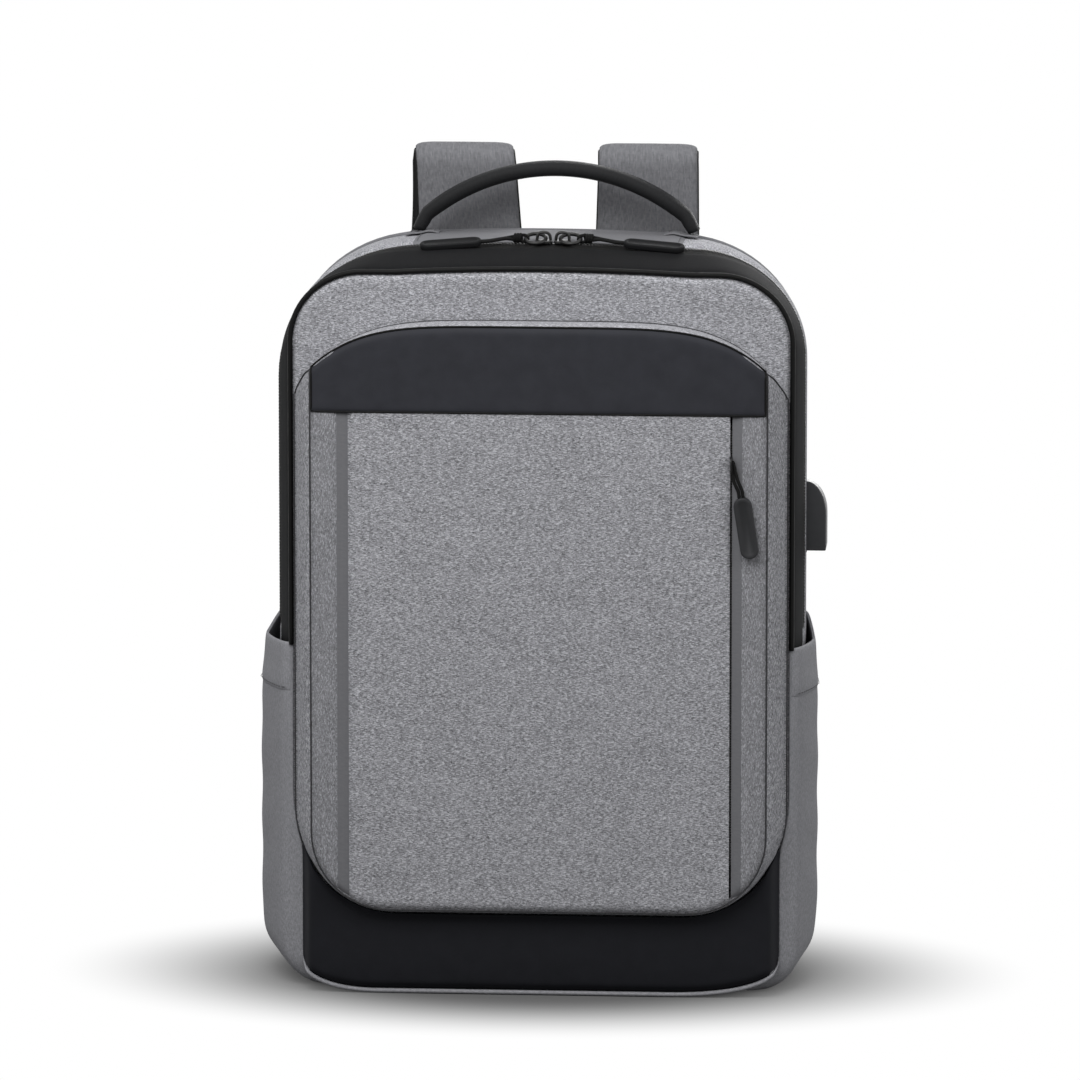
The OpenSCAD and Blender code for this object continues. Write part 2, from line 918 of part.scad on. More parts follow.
// A strip over the bag between two depths.
module over_strip(y0, y1, t)
  thick_sheet(
    [for (y = [y0, y1]) at_y(over_path(y, 0), y)],
    [for (y = [y0, y1]) at_y(over_path(y, t), y)]
  );

module zip_gusset()
  color(black_cloth)
    over_strip(gusset_y0, gusset_y1, wall);

module main_zip_front_tape()
  color(black_cloth)
    over_strip(front_tape_y0, front_tape_y1, tape_t);

module main_zip_rear_tape()
  color(black_cloth)
    over_strip(rear_tape_y0, rear_tape_y1, tape_t);

module pocket_gusset()
  color(melange)
    thick_sheet(
      [at_y(pocket_path(pocket_root, 0), pocket_root_y), at_y(pocket_path(pocket_rim, 0), pocket_seam_y)],
      [
        at_y(pocket_path(pocket_root, pocket_wall), pocket_root_y),
        at_y(pocket_path(pocket_rim, pocket_wall), pocket_seam_y)
      ],
      closed = true
    );

// The part of the pocket's front between two places across and two heights.
module pocket_front(x0, x1, z0, z1)
  intersection() {
    flat_piece(pocket_path(pocket_rim, 0), pocket_face_y, pocket_back_y);
    block([x0, pocket_face_y - 1, z0], [x1, pocket_back_y + 1, z1]);
  }

trim_low = trim_z - seam_gap;

module upper_trim()
  color(coated)
    pocket_front(-pocket_w, pocket_w, trim_z, body_h);

module pocket_panel()
  color(melange)
    pocket_front(-centre_w / 2, centre_w / 2, 0, trim_low);

module pocket_side_left()
  color(melange)
    pocket_front(-pocket_w, -centre_w / 2 - seam_gap, 0, trim_low);

module pocket_side_right()
  color(melange)
    pocket_front(slot_x1, pocket_w, 0, trim_low);

// The tape behind the slot ends where the pocket's lower corner curves in under it.
module pocket_zip_tape() {
  half = 7.5;
  corner_room = 1;
  top_room = 5;
  tape_y0 = pocket_back_y + seam_gap;
  corner_x = pocket_rim[0] - pocket_low_r;
  corner_z = pocket_rim[1] + pocket_low_r;
  reach = slot_x + half - corner_x;
  inner_r = pocket_low_r - pocket_wall - corner_room;
  color(black_cloth)
    block(
      [slot_x - half, tape_y0, corner_z - sqrt(inner_r * inner_r - reach * reach)],
      [slot_x + half, tape_y0 + tape_t, trim_z - top_room]
    );
}

module lower_trim() {
  hw = low_trim_w / 2;
  tip_z = pocket_z0 + pocket_low_r;
  trim_r = 18;
  trim_y = pocket_root_y - low_trim_t;
  color(coated)
    difference() {
      flat_piece(
        concat([[hw, tip_z], [-hw, tip_z]], low_arcs(hw, low_trim_z0, trim_r)),
        trim_y, pocket_root_y
      );
      flat_piece(pocket_path(pocket_root, -2 * seam_gap), trim_y - 1, pocket_root_y + 1);
    }
}

// Sliders and pullers of the main zip

slider_room = 0.5;

function slider_x(side) = slider_meet_x + side * (slider_l / 2 + slider_room);

module along_y(y, r, length)
  translate([0, y, 0])
    rotate([90, 0, 0])
      cylinder(r = r, h = length, center = true);

module zip_slider(side) {
  post_w = zip_gap - 0.8;
  post_l = 3;
  half = [slider_l / 2, slider_w / 2];
  tape_low_z = min(top_z(zip_y - half[1]), top_z(zip_y + half[1])) - tape_t;
  low_z = tape_low_z - slider_clear - slider_t;
  color(moulded)
    translate([slider_x(side), zip_y, 0]) {
      block([-half[0], -half[1], plate_z - slider_t], [half[0], half[1], plate_z]);
      block([-half[0], -half[1], low_z], [half[0], half[1], low_z + slider_t]);
      block([-post_l / 2, -post_w / 2, low_z], [post_l / 2, post_w / 2, plate_z]);
      for (end = [-1, 1])
        translate([0, end * (half[1] - cheek_t / 2), 0]) {
          block([-eye_r, -cheek_t / 2, plate_z - slider_t / 2], [eye_r, cheek_t / 2, bar_z]);
          translate([0, 0, bar_z])
            along_y(0, eye_r, cheek_t);
        }
      translate([0, 0, bar_z])
        along_y(0, bar_r, slider_w - cheek_t);
    }
}

module zip_slider_left()
  zip_slider(left);

module zip_slider_right()
  zip_slider(right);

// What hangs on a slider's bar, drawn to the right of it.
module on_bar(side)
  translate([slider_x(side), zip_y, bar_z])
    mirror([side == left ? 1 : 0, 0, 0])
      children();

module pull_ring(side)
  color(moulded)
    on_bar(side)
      difference() {
        union() {
          along_y(0, eye_r, eye_w);
          translate([ring_x, 0, 0])
            rotate_extrude()
              translate([ring_r, 0])
                circle(r = wire_r, $fn = 24);
        }
        along_y(0, eye_bore, 2 * eye_w);
      }

module pull_ring_left()
  pull_ring(left);

module pull_ring_right()
  pull_ring(right);

// A doubled cord that bends round the ring's far side.
module pull_cord(side) {
  bend = [
    for (a = [90:30:270])
      [ring_far + cord_bend * cos(a), cord_bend * sin(a)]
  ];
  color(black_cloth)
    on_bar(side)
      tube(concat([[grip_reach, cord_bend]], bend, [[grip_reach, -cord_bend]]), 0, cord_r);
}

module pull_cord_left()
  pull_cord(left);

module pull_cord_right()
  pull_cord(right);

// A moulded grip along X, with a flat end at the cord and a round end.
module grip()
  linear_extrude(grip_t, center = true) {
    translate([0, -grip_w / 2])
      square([grip_l - grip_w / 2, grip_w]);
    translate([grip_l - grip_w / 2, 0])
      circle(d = grip_w);
  }

module pull_grip(side)
  color(moulded)
    on_bar(side)
      translate([grip_reach, 0, grip_z - bar_z])
        grip();

module pull_grip_left()
  pull_grip(left);

module pull_grip_right()
  pull_grip(right);

// Slider and puller of the front pocket

blade_half = 5;
strand_room = 1.2;
strand_x = blade_t / 2 + cord_r + strand_room;
grip_shift = 6;
grip_drop = 20;
pocket_grip_x = slot_x + grip_shift;
pocket_grip_z = pocket_slider_z - grip_drop;

module pocket_zip_slider()
  color(moulded)
    difference() {
      block(
        [slot_x - blade_t / 2, pocket_grip_y - pocket_eye_r - eye_wall, pocket_slider_z - blade_half],
        [slot_x + blade_t / 2, pocket_back_y, pocket_slider_z + blade_half]
      );
      translate([slot_x, pocket_grip_y, pocket_slider_z])
        rotate([0, 90, 0])
          cylinder(r = pocket_eye_r, h = slot_w, center = true);
    }

module pocket_pull_cord() {
  across = 1.8 * [cos(grip_lean), sin(grip_lean)];
  up = [-sin(grip_lean), cos(grip_lean)];
  end = [pocket_grip_x, pocket_grip_z] + seam_gap * up;
  straight = 4 * up;
  eye = [slot_x, pocket_slider_z];
  shoulder = 1.4;
  color(black_cloth)
    tube(
      [
        end - across,
        end - across + straight,
        eye + [-strand_x, -3 * shoulder],
        eye + [-strand_x, -shoulder],
        eye + [-strand_x + shoulder, 0],
        eye + [strand_x - shoulder, 0],
        eye + [strand_x, -shoulder],
        eye + [strand_x, -3 * shoulder],
        end + across + straight,
        end + across
      ],
      pocket_grip_y, cord_r
    );
}

module pocket_pull_grip()
  color(moulded)
    translate([pocket_grip_x, pocket_grip_y, pocket_grip_z])
      rotate([0, 90 - grip_lean, 0])
        rotate([90, 0, 0])
          grip();

back_panel();
back_board();
back_pad_left();
back_pad_right();
lumbar_pad();
rear_gusset();
lower_gusset();
top_yoke();
bottom_panel();
main_zip_rear_tape();
laptop_divider();
power_bank_pocket();
side_pocket_left();
side_pocket_right();
side_pocket_hem_left();
side_pocket_hem_right();
usb_port_housing();
usb_socket_shell();
usb_contact_tongue();
usb_back_plate();
handle_tab_left();
handle_tab_right();
strap_riser_left();
strap_riser_right();
webbing_anchor_left();
webbing_anchor_right();
strap_webbing_left();
strap_webbing_right();
front_panel();
front_piping();
zip_gusset();
main_zip_front_tape();
pocket_gusset();
pocket_panel();
pocket_side_left();
pocket_side_right();
upper_trim();
lower_trim();
pocket_zip_tape();
zip_slider_left();
zip_slider_right();
pull_ring_left();
pull_ring_right();
pull_cord_left();
pull_cord_right();
pull_grip_left();
pull_grip_right();
pocket_zip_slider();
pocket_pull_cord();
pocket_pull_grip();
carry_handle();
handle_core();
shoulder_strap_left();
shoulder_strap_right();
strap_mesh_left();
strap_mesh_right();
ladder_lock_left();
ladder_lock_right();
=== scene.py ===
# %% [markdown]
# # A grey laptop backpack, dressed over its CAD frame
# The frame holds the bag's construction: where every panel, zip and strap sits, and how it moves.
# This script gives those pieces their looks. Soft panels become lofted, padded cloth, hard pieces are
# modelled with the mesh tools, and every surface gets a finish made of shader nodes.

# %% Load the frame and keep its box
import json
import math

import bmesh
import bpy
import numpy as np
from mathutils import Matrix, Vector


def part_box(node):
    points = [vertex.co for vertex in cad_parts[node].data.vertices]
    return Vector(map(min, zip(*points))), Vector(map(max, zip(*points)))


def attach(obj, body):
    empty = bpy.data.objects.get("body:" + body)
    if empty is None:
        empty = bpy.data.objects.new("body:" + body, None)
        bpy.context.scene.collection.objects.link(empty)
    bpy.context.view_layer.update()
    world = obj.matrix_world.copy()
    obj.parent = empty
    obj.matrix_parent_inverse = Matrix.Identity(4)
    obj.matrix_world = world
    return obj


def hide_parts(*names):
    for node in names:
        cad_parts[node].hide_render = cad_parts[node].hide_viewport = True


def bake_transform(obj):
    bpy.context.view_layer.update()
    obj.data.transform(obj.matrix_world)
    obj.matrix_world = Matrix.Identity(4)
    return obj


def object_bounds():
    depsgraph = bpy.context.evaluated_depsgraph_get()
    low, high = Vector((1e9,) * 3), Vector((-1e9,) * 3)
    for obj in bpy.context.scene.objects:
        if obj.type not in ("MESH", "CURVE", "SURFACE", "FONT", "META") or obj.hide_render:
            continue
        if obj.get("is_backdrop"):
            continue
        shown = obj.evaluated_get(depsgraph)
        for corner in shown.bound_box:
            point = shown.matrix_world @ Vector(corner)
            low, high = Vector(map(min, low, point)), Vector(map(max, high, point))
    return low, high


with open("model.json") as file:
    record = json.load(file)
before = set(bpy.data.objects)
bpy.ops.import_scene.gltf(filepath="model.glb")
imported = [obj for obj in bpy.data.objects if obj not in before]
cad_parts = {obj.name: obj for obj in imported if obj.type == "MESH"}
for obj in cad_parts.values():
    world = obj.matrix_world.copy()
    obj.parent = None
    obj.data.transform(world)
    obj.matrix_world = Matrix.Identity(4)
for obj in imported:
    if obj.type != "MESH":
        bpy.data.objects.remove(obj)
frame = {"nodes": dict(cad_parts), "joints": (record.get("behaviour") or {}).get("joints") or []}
cad_low, cad_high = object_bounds()
MM = 0.001
print("CAD box in mm:", [round(v / MM) for v in (*cad_low, *cad_high)])

# %% [markdown]
# ## Camera
# A catalogue picture is taken from far away with a long lens, so that upright edges stay upright. The
# camera stands a little to the right of the bag and a little above it, at the angles that bring the
# bag's seams onto the photograph's.

# %% Camera
PHOTO_PX = 1080
FOCAL_PX = 10222
SENSOR_MM = 36
CAMERA_AZIMUTH = math.radians(3.8)
CAMERA_ELEVATION = math.radians(10.565)
CAMERA_DISTANCE = 6.0
CAMERA_TARGET = Vector((-0.0046, 0, 0.2564))

to_camera = Vector((
    math.sin(CAMERA_AZIMUTH) * math.cos(CAMERA_ELEVATION),
    -math.cos(CAMERA_AZIMUTH) * math.cos(CAMERA_ELEVATION),
    math.sin(CAMERA_ELEVATION),
))
bpy.ops.object.camera_add(location=CAMERA_TARGET + to_camera * CAMERA_DISTANCE)
camera = bpy.context.object
camera.rotation_euler = (-to_camera).to_track_quat("-Z", "Y").to_euler()
camera.data.sensor_width = SENSOR_MM
camera.data.lens = SENSOR_MM * FOCAL_PX / PHOTO_PX
camera.data.clip_end = 60
bpy.context.scene.camera = camera
print("Lens of", round(camera.data.lens), "mm at", CAMERA_DISTANCE, "m")

# %% [markdown]
# ## Node helpers
# A finish is a small network of nodes. `put` adds one node and fills its inputs in order: a socket is
# linked, and anything else is written in as a value.

# %% Node helpers
def feed(tree, socket, value):
    """Links a socket to an input, or writes a value there. None leaves the input as it is."""
    if isinstance(value, bpy.types.NodeSocket):
        tree.links.new(value, socket)
    elif value is not None:
        socket.default_value = value


def feed_named(tree, node, **inputs):
    for label, value in inputs.items():
        feed(tree, node.inputs[label], value)
    return node


def put(tree, kind, *inputs, **settings):
    node = tree.nodes.new("ShaderNode" + kind)
    for key, value in settings.items():
        setattr(node, key, value)
    for socket, value in zip(node.inputs, inputs):
        feed(tree, socket, value)
    return node


def maths(tree, operation, a, b=None, c=None):
    return put(tree, "Math", a, b, c, operation=operation).outputs[0]


def mixed(tree, *parts):
    """The sum of some values, each times its share."""
    total = None
    for value, share in parts:
        part = maths(tree, "MULTIPLY", value, share)
        total = part if total is None else maths(tree, "ADD", total, part)
    return total


def ranged(tree, value, low, high, to_low=0.0, to_high=1.0, **settings):
    """A value's range from low to high, drawn out to another range."""
    return put(tree, "MapRange", value, low, high, to_low, to_high, **settings).outputs[0]


def wave(tree, place, per_metre):
    """A sine wave along one coordinate, which crosses zero so many times to the metre."""
    turns = maths(tree, "MULTIPLY", per_metre, math.pi)
    return maths(tree, "SINE", maths(tree, "MULTIPLY", place, turns))


def new_group(name, inputs, outputs):
    tree = bpy.data.node_groups.new(name, "ShaderNodeTree")
    for kind, label, value in inputs:
        socket = tree.interface.new_socket(label, in_out="INPUT", socket_type="NodeSocket" + kind)
        if value is not None:
            socket.default_value = value
    for kind, label in outputs:
        tree.interface.new_socket(label, in_out="OUTPUT", socket_type="NodeSocket" + kind)
    source = tree.nodes.new("NodeGroupInput")
    sink = tree.nodes.new("NodeGroupOutput")
    return tree, source.outputs, sink.inputs


def use_group(tree, group, **inputs):
    node = tree.nodes.new("ShaderNodeGroup")
    node.node_tree = group
    return feed_named(tree, node, **inputs).outputs


def grey(level, tint=(1.0, 1.0, 1.0)):
    """An RGBA colour from a screen grey of 0 to 255."""
    share = level / 255
    linear = share / 12.92 if share <= 0.04045 else ((share + 0.055) / 1.055) ** 2.4
    return (linear * tint[0], linear * tint[1], linear * tint[2], 1)


# %% [markdown]
# ## Plain weave
# Cloth is threads that go over and under each other. Two sine waves, one along each thread
# direction, multiply into a chequer of little humps, which is what a plain weave looks like up close.
# The cloth's UV map is in metres, so threads have the same size on every piece.

# %% Weave group
weave_group, weave_in, weave_out = new_group(
    "Plain weave",
    [("Vector", "Vector", None), ("Float", "Threads", 1400.0)],
    [("Float", "Height")],
)
weave_place = put(weave_group, "SeparateXYZ", weave_in["Vector"]).outputs
across, along = (wave(weave_group, weave_place[axis], weave_in["Threads"]) for axis in "XY")
humps = maths(weave_group, "ABSOLUTE", maths(weave_group, "MULTIPLY", across, along))
weave_group.links.new(humps, weave_out["Height"])
print("Weave of", len(weave_group.nodes), "nodes")

# %% [markdown]
# ## Melange
# The grey cloth is woven from light and dark yarns that show as short flecks. The surface is cut into
# rows, one to a yarn, and each row reads a stretch of noise of its own, drawn out along the yarn. Most
# of it follows the weft and some the warp, fine specks break it up, and a slow noise lets whole areas
# drift a little lighter or darker. A few of the brightest flecks get a colour of their own.

# %% Melange group
melange_group, melange_in, melange_out = new_group(
    "Melange cloth",
    [
        ("Vector", "Vector", None), ("Color", "Dark", grey(82)), ("Color", "Light", grey(179)),
        ("Color", "Fleck", grey(212)), ("Float", "Along", 480.0), ("Float", "Across", 2400.0),
        ("Float", "Flecks", 0.6), ("Float", "Threads", 2000.0),
    ],
    [("Color", "Color"), ("Float", "Height")],
)

ROW_SLIDE = 0.618
ROW_STEP = 7.31
FLECK_OFFSET = (0.37, 0.53, 0.0)


def flat_noise(tree, u, v, detail, roughness=0.5):
    """A noise read at a place on the cloth that is given in cells."""
    noise = put(tree, "TexNoise", noise_dimensions="2D")
    place = put(tree, "CombineXYZ", u, v, 0.0).outputs[0]
    feed_named(tree, noise, Vector=place, Scale=1.0, Detail=detail, Roughness=roughness)
    return noise.outputs[0]


def stretched_noise(tree, vector, along_scale, across_scale, detail, roughness):
    """Noise drawn out along U. Each row is slid along by part of a cell, so that no columns line up."""
    place = put(tree, "SeparateXYZ", vector).outputs
    v = maths(tree, "MULTIPLY", place["Y"], across_scale)
    u = maths(tree, "MULTIPLY_ADD", place["X"], along_scale, maths(tree, "MULTIPLY", v, ROW_SLIDE))
    return flat_noise(tree, u, v, detail, roughness)


def yarn_noise(tree, vector, along, across, along_scale, across_scale, detail):
    """One yarn to each row: every row has a stretch of noise of its own."""
    place = put(tree, "SeparateXYZ", vector).outputs
    row = maths(tree, "FLOOR", maths(tree, "MULTIPLY", place[across], across_scale))
    u = maths(tree, "MULTIPLY_ADD", place[along], along_scale, maths(tree, "MULTIPLY", row, ROW_SLIDE))
    return flat_noise(tree, u, maths(tree, "MULTIPLY", row, ROW_STEP), detail)


def blend_colours(tree, factor, first, second):
    mix = put(tree, "Mix", data_type="RGBA")
    for socket, value in ((mix.inputs[0], factor), (mix.inputs[6], first), (mix.inputs[7], second)):
        tree.links.new(value, socket)
    return mix.outputs[2]


def melange_yarns(vector, along, across, detail):
    return yarn_noise(melange_group, vector, along, across, melange_in["Along"], melange_in["Across"], detail)


# %% Melange yarns and flecks
cloth_place = melange_in["Vector"]
weft = melange_yarns(cloth_place, "X", "Y", 2.0)
warp = melange_yarns(cloth_place, "Y", "X", 2.0)
yarns = mixed(melange_group, (weft, 0.75), (warp, 0.25))
specks = stretched_noise(melange_group, cloth_place, 2400.0, 2800.0, 2.0, 0.6)
drift = stretched_noise(melange_group, cloth_place, 26.0, 90.0, 2.0, 0.5)
yarn = mixed(melange_group, (yarns, 0.85), (specks, 0.15), (drift, 0.06))
light_share = ranged(melange_group, yarn, 0.34, 0.74)
moved = put(melange_group, "VectorMath", cloth_place, FLECK_OFFSET, operation="ADD").outputs[0]
bright = ranged(melange_group, melange_yarns(moved, "X", "Y", 1.0), 0.58, 0.7)
bright = maths(melange_group, "MULTIPLY", bright, melange_in["Flecks"])
body = blend_colours(melange_group, light_share, melange_in["Dark"], melange_in["Light"])
flecked = blend_colours(melange_group, bright, body, melange_in["Fleck"])
threads = use_group(melange_group, weave_group, Vector=cloth_place, Threads=melange_in["Threads"])
relief = mixed(melange_group, (light_share, 0.7), (threads["Height"], 1.0))
melange_group.links.new(flecked, melange_out["Color"])
melange_group.links.new(relief, melange_out["Height"])
print("Melange of", len(melange_group.nodes), "nodes")

# %% [markdown]
# ## Grain
# Coated cloth and moulded plastic have no threads, but a fine pebbled skin. Cells of a Voronoi
# texture make it, and a coarser noise breaks up the gloss and the colour.

# %% Grain group
grain_group, grain_in, grain_out = new_group(
    "Pebbled skin",
    [
        ("Vector", "Vector", None), ("Float", "Cells", 1500.0),
        ("Float", "Smooth", 0.4), ("Float", "Rough", 0.6),
    ],
    [("Float", "Height"), ("Float", "Roughness"), ("Float", "Shade")],
)
MOTTLE_SCALE = 90
cells = put(grain_group, "TexVoronoi", feature="SMOOTH_F1")
feed_named(grain_group, cells, Vector=grain_in["Vector"], Scale=grain_in["Cells"])
mottle = put(grain_group, "TexNoise")
feed_named(grain_group, mottle, Vector=grain_in["Vector"], Scale=MOTTLE_SCALE, Detail=4)
gloss = ranged(grain_group, mottle.outputs[0], 0.3, 0.7, grain_in["Smooth"], grain_in["Rough"])
grain_group.links.new(cells.outputs["Distance"], grain_out["Height"])
grain_group.links.new(gloss, grain_out["Roughness"])
grain_group.links.new(mottle.outputs[0], grain_out["Shade"])
print("Grain of", len(grain_group.nodes), "nodes")

# %% [markdown]
# ## Ribs and knit
# Webbing and zip tape show ribs along their length. Air mesh is knitted with rows of small holes.
# Both are built from waves, like the weave.

# %% Rib group
rib_group, rib_in, rib_out = new_group(
    "Woven ribs",
    [("Vector", "Vector", None), ("Float", "Ribs", 700.0), ("Float", "Picks", 1100.0)],
    [("Float", "Height")],
)
PICK_SLANT = 0.0004
rib_place = put(rib_group, "SeparateXYZ", rib_in["Vector"]).outputs
rib_wave = maths(rib_group, "ABSOLUTE", wave(rib_group, rib_place["Y"], rib_in["Ribs"]))
slant = mixed(rib_group, (rib_place["X"], 1.0), (rib_wave, PICK_SLANT))
pick_wave = maths(rib_group, "ABSOLUTE", wave(rib_group, slant, rib_in["Picks"]))
rib_group.links.new(mixed(rib_group, (rib_wave, 1.0), (pick_wave, 0.5)), rib_out["Height"])
print("Ribs of", len(rib_group.nodes), "nodes")

# %% Knit group
knit_group, knit_in, knit_out = new_group(
    "Air mesh",
    [("Vector", "Vector", None), ("Float", "Holes", 300.0)],
    [("Float", "Height"), ("Float", "Hole")],
)
knit_place = put(knit_group, "SeparateXYZ", knit_in["Vector"]).outputs
knit_x, knit_z = (wave(knit_group, knit_place[axis], knit_in["Holes"]) for axis in "XZ")
knit_dots = maths(knit_group, "ABSOLUTE", maths(knit_group, "MULTIPLY", knit_x, knit_z))
hole = ranged(knit_group, knit_dots, 0.45, 0.8, interpolation_type="SMOOTHSTEP")
knit_group.links.new(maths(knit_group, "SUBTRACT", 1.0, hole), knit_out["Height"])
knit_group.links.new(hole, knit_out["Hole"])
print("Knit of", len(knit_group.nodes), "nodes")

# %% [markdown]
# ## Finishes
# Each finish is a Principled shader. Values that are the same all over are written on the shader, and
# what changes over the surface comes from the groups. Cloth reads its UV map, so that threads follow
# the piece, and moulded pieces read Object coordinates.

# %% Finish helpers
CLOTH_TINT = (0.985, 0.99, 1.055)


def new_finish(name, **values):
    material = bpy.data.materials.new(name)
    material.use_nodes = True
    tree = material.node_tree
    shader = tree.nodes["Principled BSDF"]
    for label, value in values.items():
        shader.inputs[label.replace("_", " ")].default_value = value
    return material, tree, shader


def cloth_uv(tree):
    return put(tree, "UVMap", uv_map="Cloth").outputs[0]


def object_place(tree):
    return put(tree, "TexCoord").outputs["Object"]


def bump(tree, shader, height, strength, distance):
    node = feed_named(tree, put(tree, "Bump"), Strength=strength, Distance=distance, Height=height)
    tree.links.new(node.outputs[0], shader.inputs["Normal"])


def two_tone(tree, shader, share, first_colour, last_colour, first_at=0.0, last_at=1.0):
    """A base colour that runs from one colour to another as a share rises."""
    ramp = put(tree, "ValToRGB", share)
    first, last = ramp.color_ramp.elements
    first.position = first_at
    first.color = first_colour
    last.position = last_at
    last.color = last_colour
    tree.links.new(ramp.outputs[0], shader.inputs["Base Color"])


# %% Kinds of finish
def melange_finish(name, dark, light, fleck, along=480.0, across=2400.0, flecks=0.6):
    material, tree, shader = new_finish(name, Roughness=0.9, Specular_IOR_Level=0.2)
    cloth = use_group(
        tree, melange_group, Vector=cloth_uv(tree), Dark=grey(dark, CLOTH_TINT),
        Light=grey(light, CLOTH_TINT), Fleck=grey(fleck, CLOTH_TINT), Along=along, Across=across,
        Flecks=flecks,
    )
    tree.links.new(cloth["Color"], shader.inputs["Base Color"])
    bump(tree, shader, cloth["Height"], 0.2, 0.0002)
    return material


def weave_finish(
    name, level, threads=1300.0, roughness=0.85, depth=0.3, contrast=0.16, tint=CLOTH_TINT, specular=0.2
):
    material, tree, shader = new_finish(name, Roughness=roughness, Specular_IOR_Level=specular)
    uv = cloth_uv(tree)
    height = use_group(tree, weave_group, Vector=uv, Threads=threads)["Height"]
    # The threads' humps also set the colour, lighter on top and darker between: painted light and shade,
    # mixed with a noise of random tone.
    shade = mixed(tree, (height, 0.4), (stretched_noise(tree, uv, 900.0, 300.0, 3.0, 0.6), 0.6))
    dark, light = grey(level * (1 - contrast), tint), grey(level * (1 + contrast), tint)
    two_tone(tree, shader, shade, dark, light, 0.2, 0.8)
    bump(tree, shader, height, depth, 0.0003)
    return material


def skin_finish(name, level, cells_per_m, smooth, rough, depth, contrast=0.06, tint=(1, 1, 1), **values):
    """smooth and rough are the least and the greatest roughness, and depth is the strength of the grain."""
    material, tree, shader = new_finish(name, **values)
    skin = use_group(
        tree, grain_group, Vector=object_place(tree), Cells=cells_per_m, Smooth=smooth, Rough=rough
    )
    dark, light = grey(level * (1 - contrast), tint), grey(level * (1 + contrast), tint)
    two_tone(tree, shader, skin["Shade"], dark, light, 0.3, 0.7)
    tree.links.new(skin["Roughness"], shader.inputs["Roughness"])
    bump(tree, shader, skin["Height"], depth, 0.0002)
    return material


def rib_finish(name, level, ribs, picks):
    material, tree, shader = new_finish(name, Roughness=0.7, Specular_IOR_Level=0.08)
    height = use_group(tree, rib_group, Vector=cloth_uv(tree), Ribs=ribs, Picks=picks)["Height"]
    # The colour follows the ribs' height, darker in the grooves and lighter on the ridges: painted shade and
    # highlight.
    two_tone(tree, shader, height, grey(level * 0.6), grey(level * 1.15))
    bump(tree, shader, height, 0.5, 0.0004)
    return material


def knit_finish(name, level, holes=300.0):
    material, tree, shader = new_finish(name, Roughness=0.9, Specular_IOR_Level=0.15)
    knit = use_group(tree, knit_group, Vector=object_place(tree), Holes=holes)
    # The holes are painted darker than the knit: painted shade in the holes.
    two_tone(tree, shader, knit["Hole"], grey(level), grey(level * 0.3))
    bump(tree, shader, knit["Height"], 0.7, 0.0008)
    return material


# %% Finishes of this bag
COOL = (0.97, 0.99, 1.06)
TRIM_TINT = (0.95, 0.98, 1.18)
FINISH = {
    "melange_cloth": melange_finish("Melange cloth", 82, 179, 212),
    "strip_cloth": melange_finish("Melange cloth of the strips", 92, 152, 192, flecks=0.45),
    "side_cloth": melange_finish("Melange cloth of the side pockets", 119, 150, 166, flecks=0.3),
    "strap_cloth": melange_finish("Strap cloth", 93, 117, 127, along=260.0, across=1500.0, flecks=0.25),
    "yoke_cloth": weave_finish("Yoke cloth", 108, contrast=0.06),
    "black_cloth": weave_finish(
        "Black cloth", 24, threads=1800.0, roughness=0.75, depth=0.12, tint=COOL, specular=0.03
    ),
    "handle_cover": weave_finish(
        "Handle cover", 28, threads=1500.0, roughness=0.6, depth=0.2, tint=COOL, specular=0.1
    ),
    "lining": weave_finish("Lining", 78, threads=1900.0, roughness=0.7, contrast=0.1),
    "coated_cloth": skin_finish(
        "Coated cloth", 46, 1900.0, 0.55, 0.65, 0.18, tint=TRIM_TINT, Specular_IOR_Level=0.1
    ),
    "base_cloth": skin_finish(
        "Dark coated cloth", 29, 1900.0, 0.55, 0.65, 0.18, tint=TRIM_TINT, Specular_IOR_Level=0.06
    ),
    "port_plastic": skin_finish(
        "Port plastic", 62, 2600.0, 0.36, 0.48, 0.08, tint=COOL, Specular_IOR_Level=0.15
    ),
    "grip_rubber": skin_finish(
        "Grip rubber", 42, 2200.0, 0.45, 0.6, 0.1, tint=COOL, Specular_IOR_Level=0.15
    ),
    # The top pulls' grips get a darker copy of the grip rubber: painted shade, against the light that falls
    # on them from above.
    "top_grip_painted_shade": skin_finish(
        "Grip rubber of the top pulls, darkened as painted shade", 23, 2200.0, 0.5, 0.65, 0.1, tint=COOL, Specular_IOR_Level=0.06
    ),
    "zip_teeth": skin_finish("Zip teeth", 20, 800.0, 0.35, 0.5, 0.05, Specular_IOR_Level=0.3),
    "piping": skin_finish("Piping", 14, 1500.0, 0.4, 0.55, 0.08, Specular_IOR_Level=0.08),
    "dark_metal": skin_finish("Dark metal", 14, 900.0, 0.3, 0.45, 0.04, Specular_IOR_Level=0.3),
    "buckle_plastic": skin_finish("Buckle plastic", 26, 1800.0, 0.35, 0.5, 0.1, Specular_IOR_Level=0.3),
    "steel": skin_finish("Socket steel", 180, 700.0, 0.2, 0.38, 0.03, Metallic=1.0),
    "contact_plastic": skin_finish("Contact plastic", 225, 900.0, 0.4, 0.55, 0.05),
    "board": skin_finish("Board", 80, 500.0, 0.5, 0.7, 0.2),
    "core_foam": skin_finish("Core foam", 200, 1200.0, 0.8, 0.95, 0.4),
    "zip_tape": rib_finish("Zip tape", 22, 900.0, 1600.0),
    "webbing": rib_finish("Webbing", 28, 620.0, 900.0),
    "cord": rib_finish("Braided cord", 18, 1400.0, 900.0),
    "air_mesh": knit_finish("Air mesh", 30),
    "pad_mesh": knit_finish("Pad mesh", 58),
}
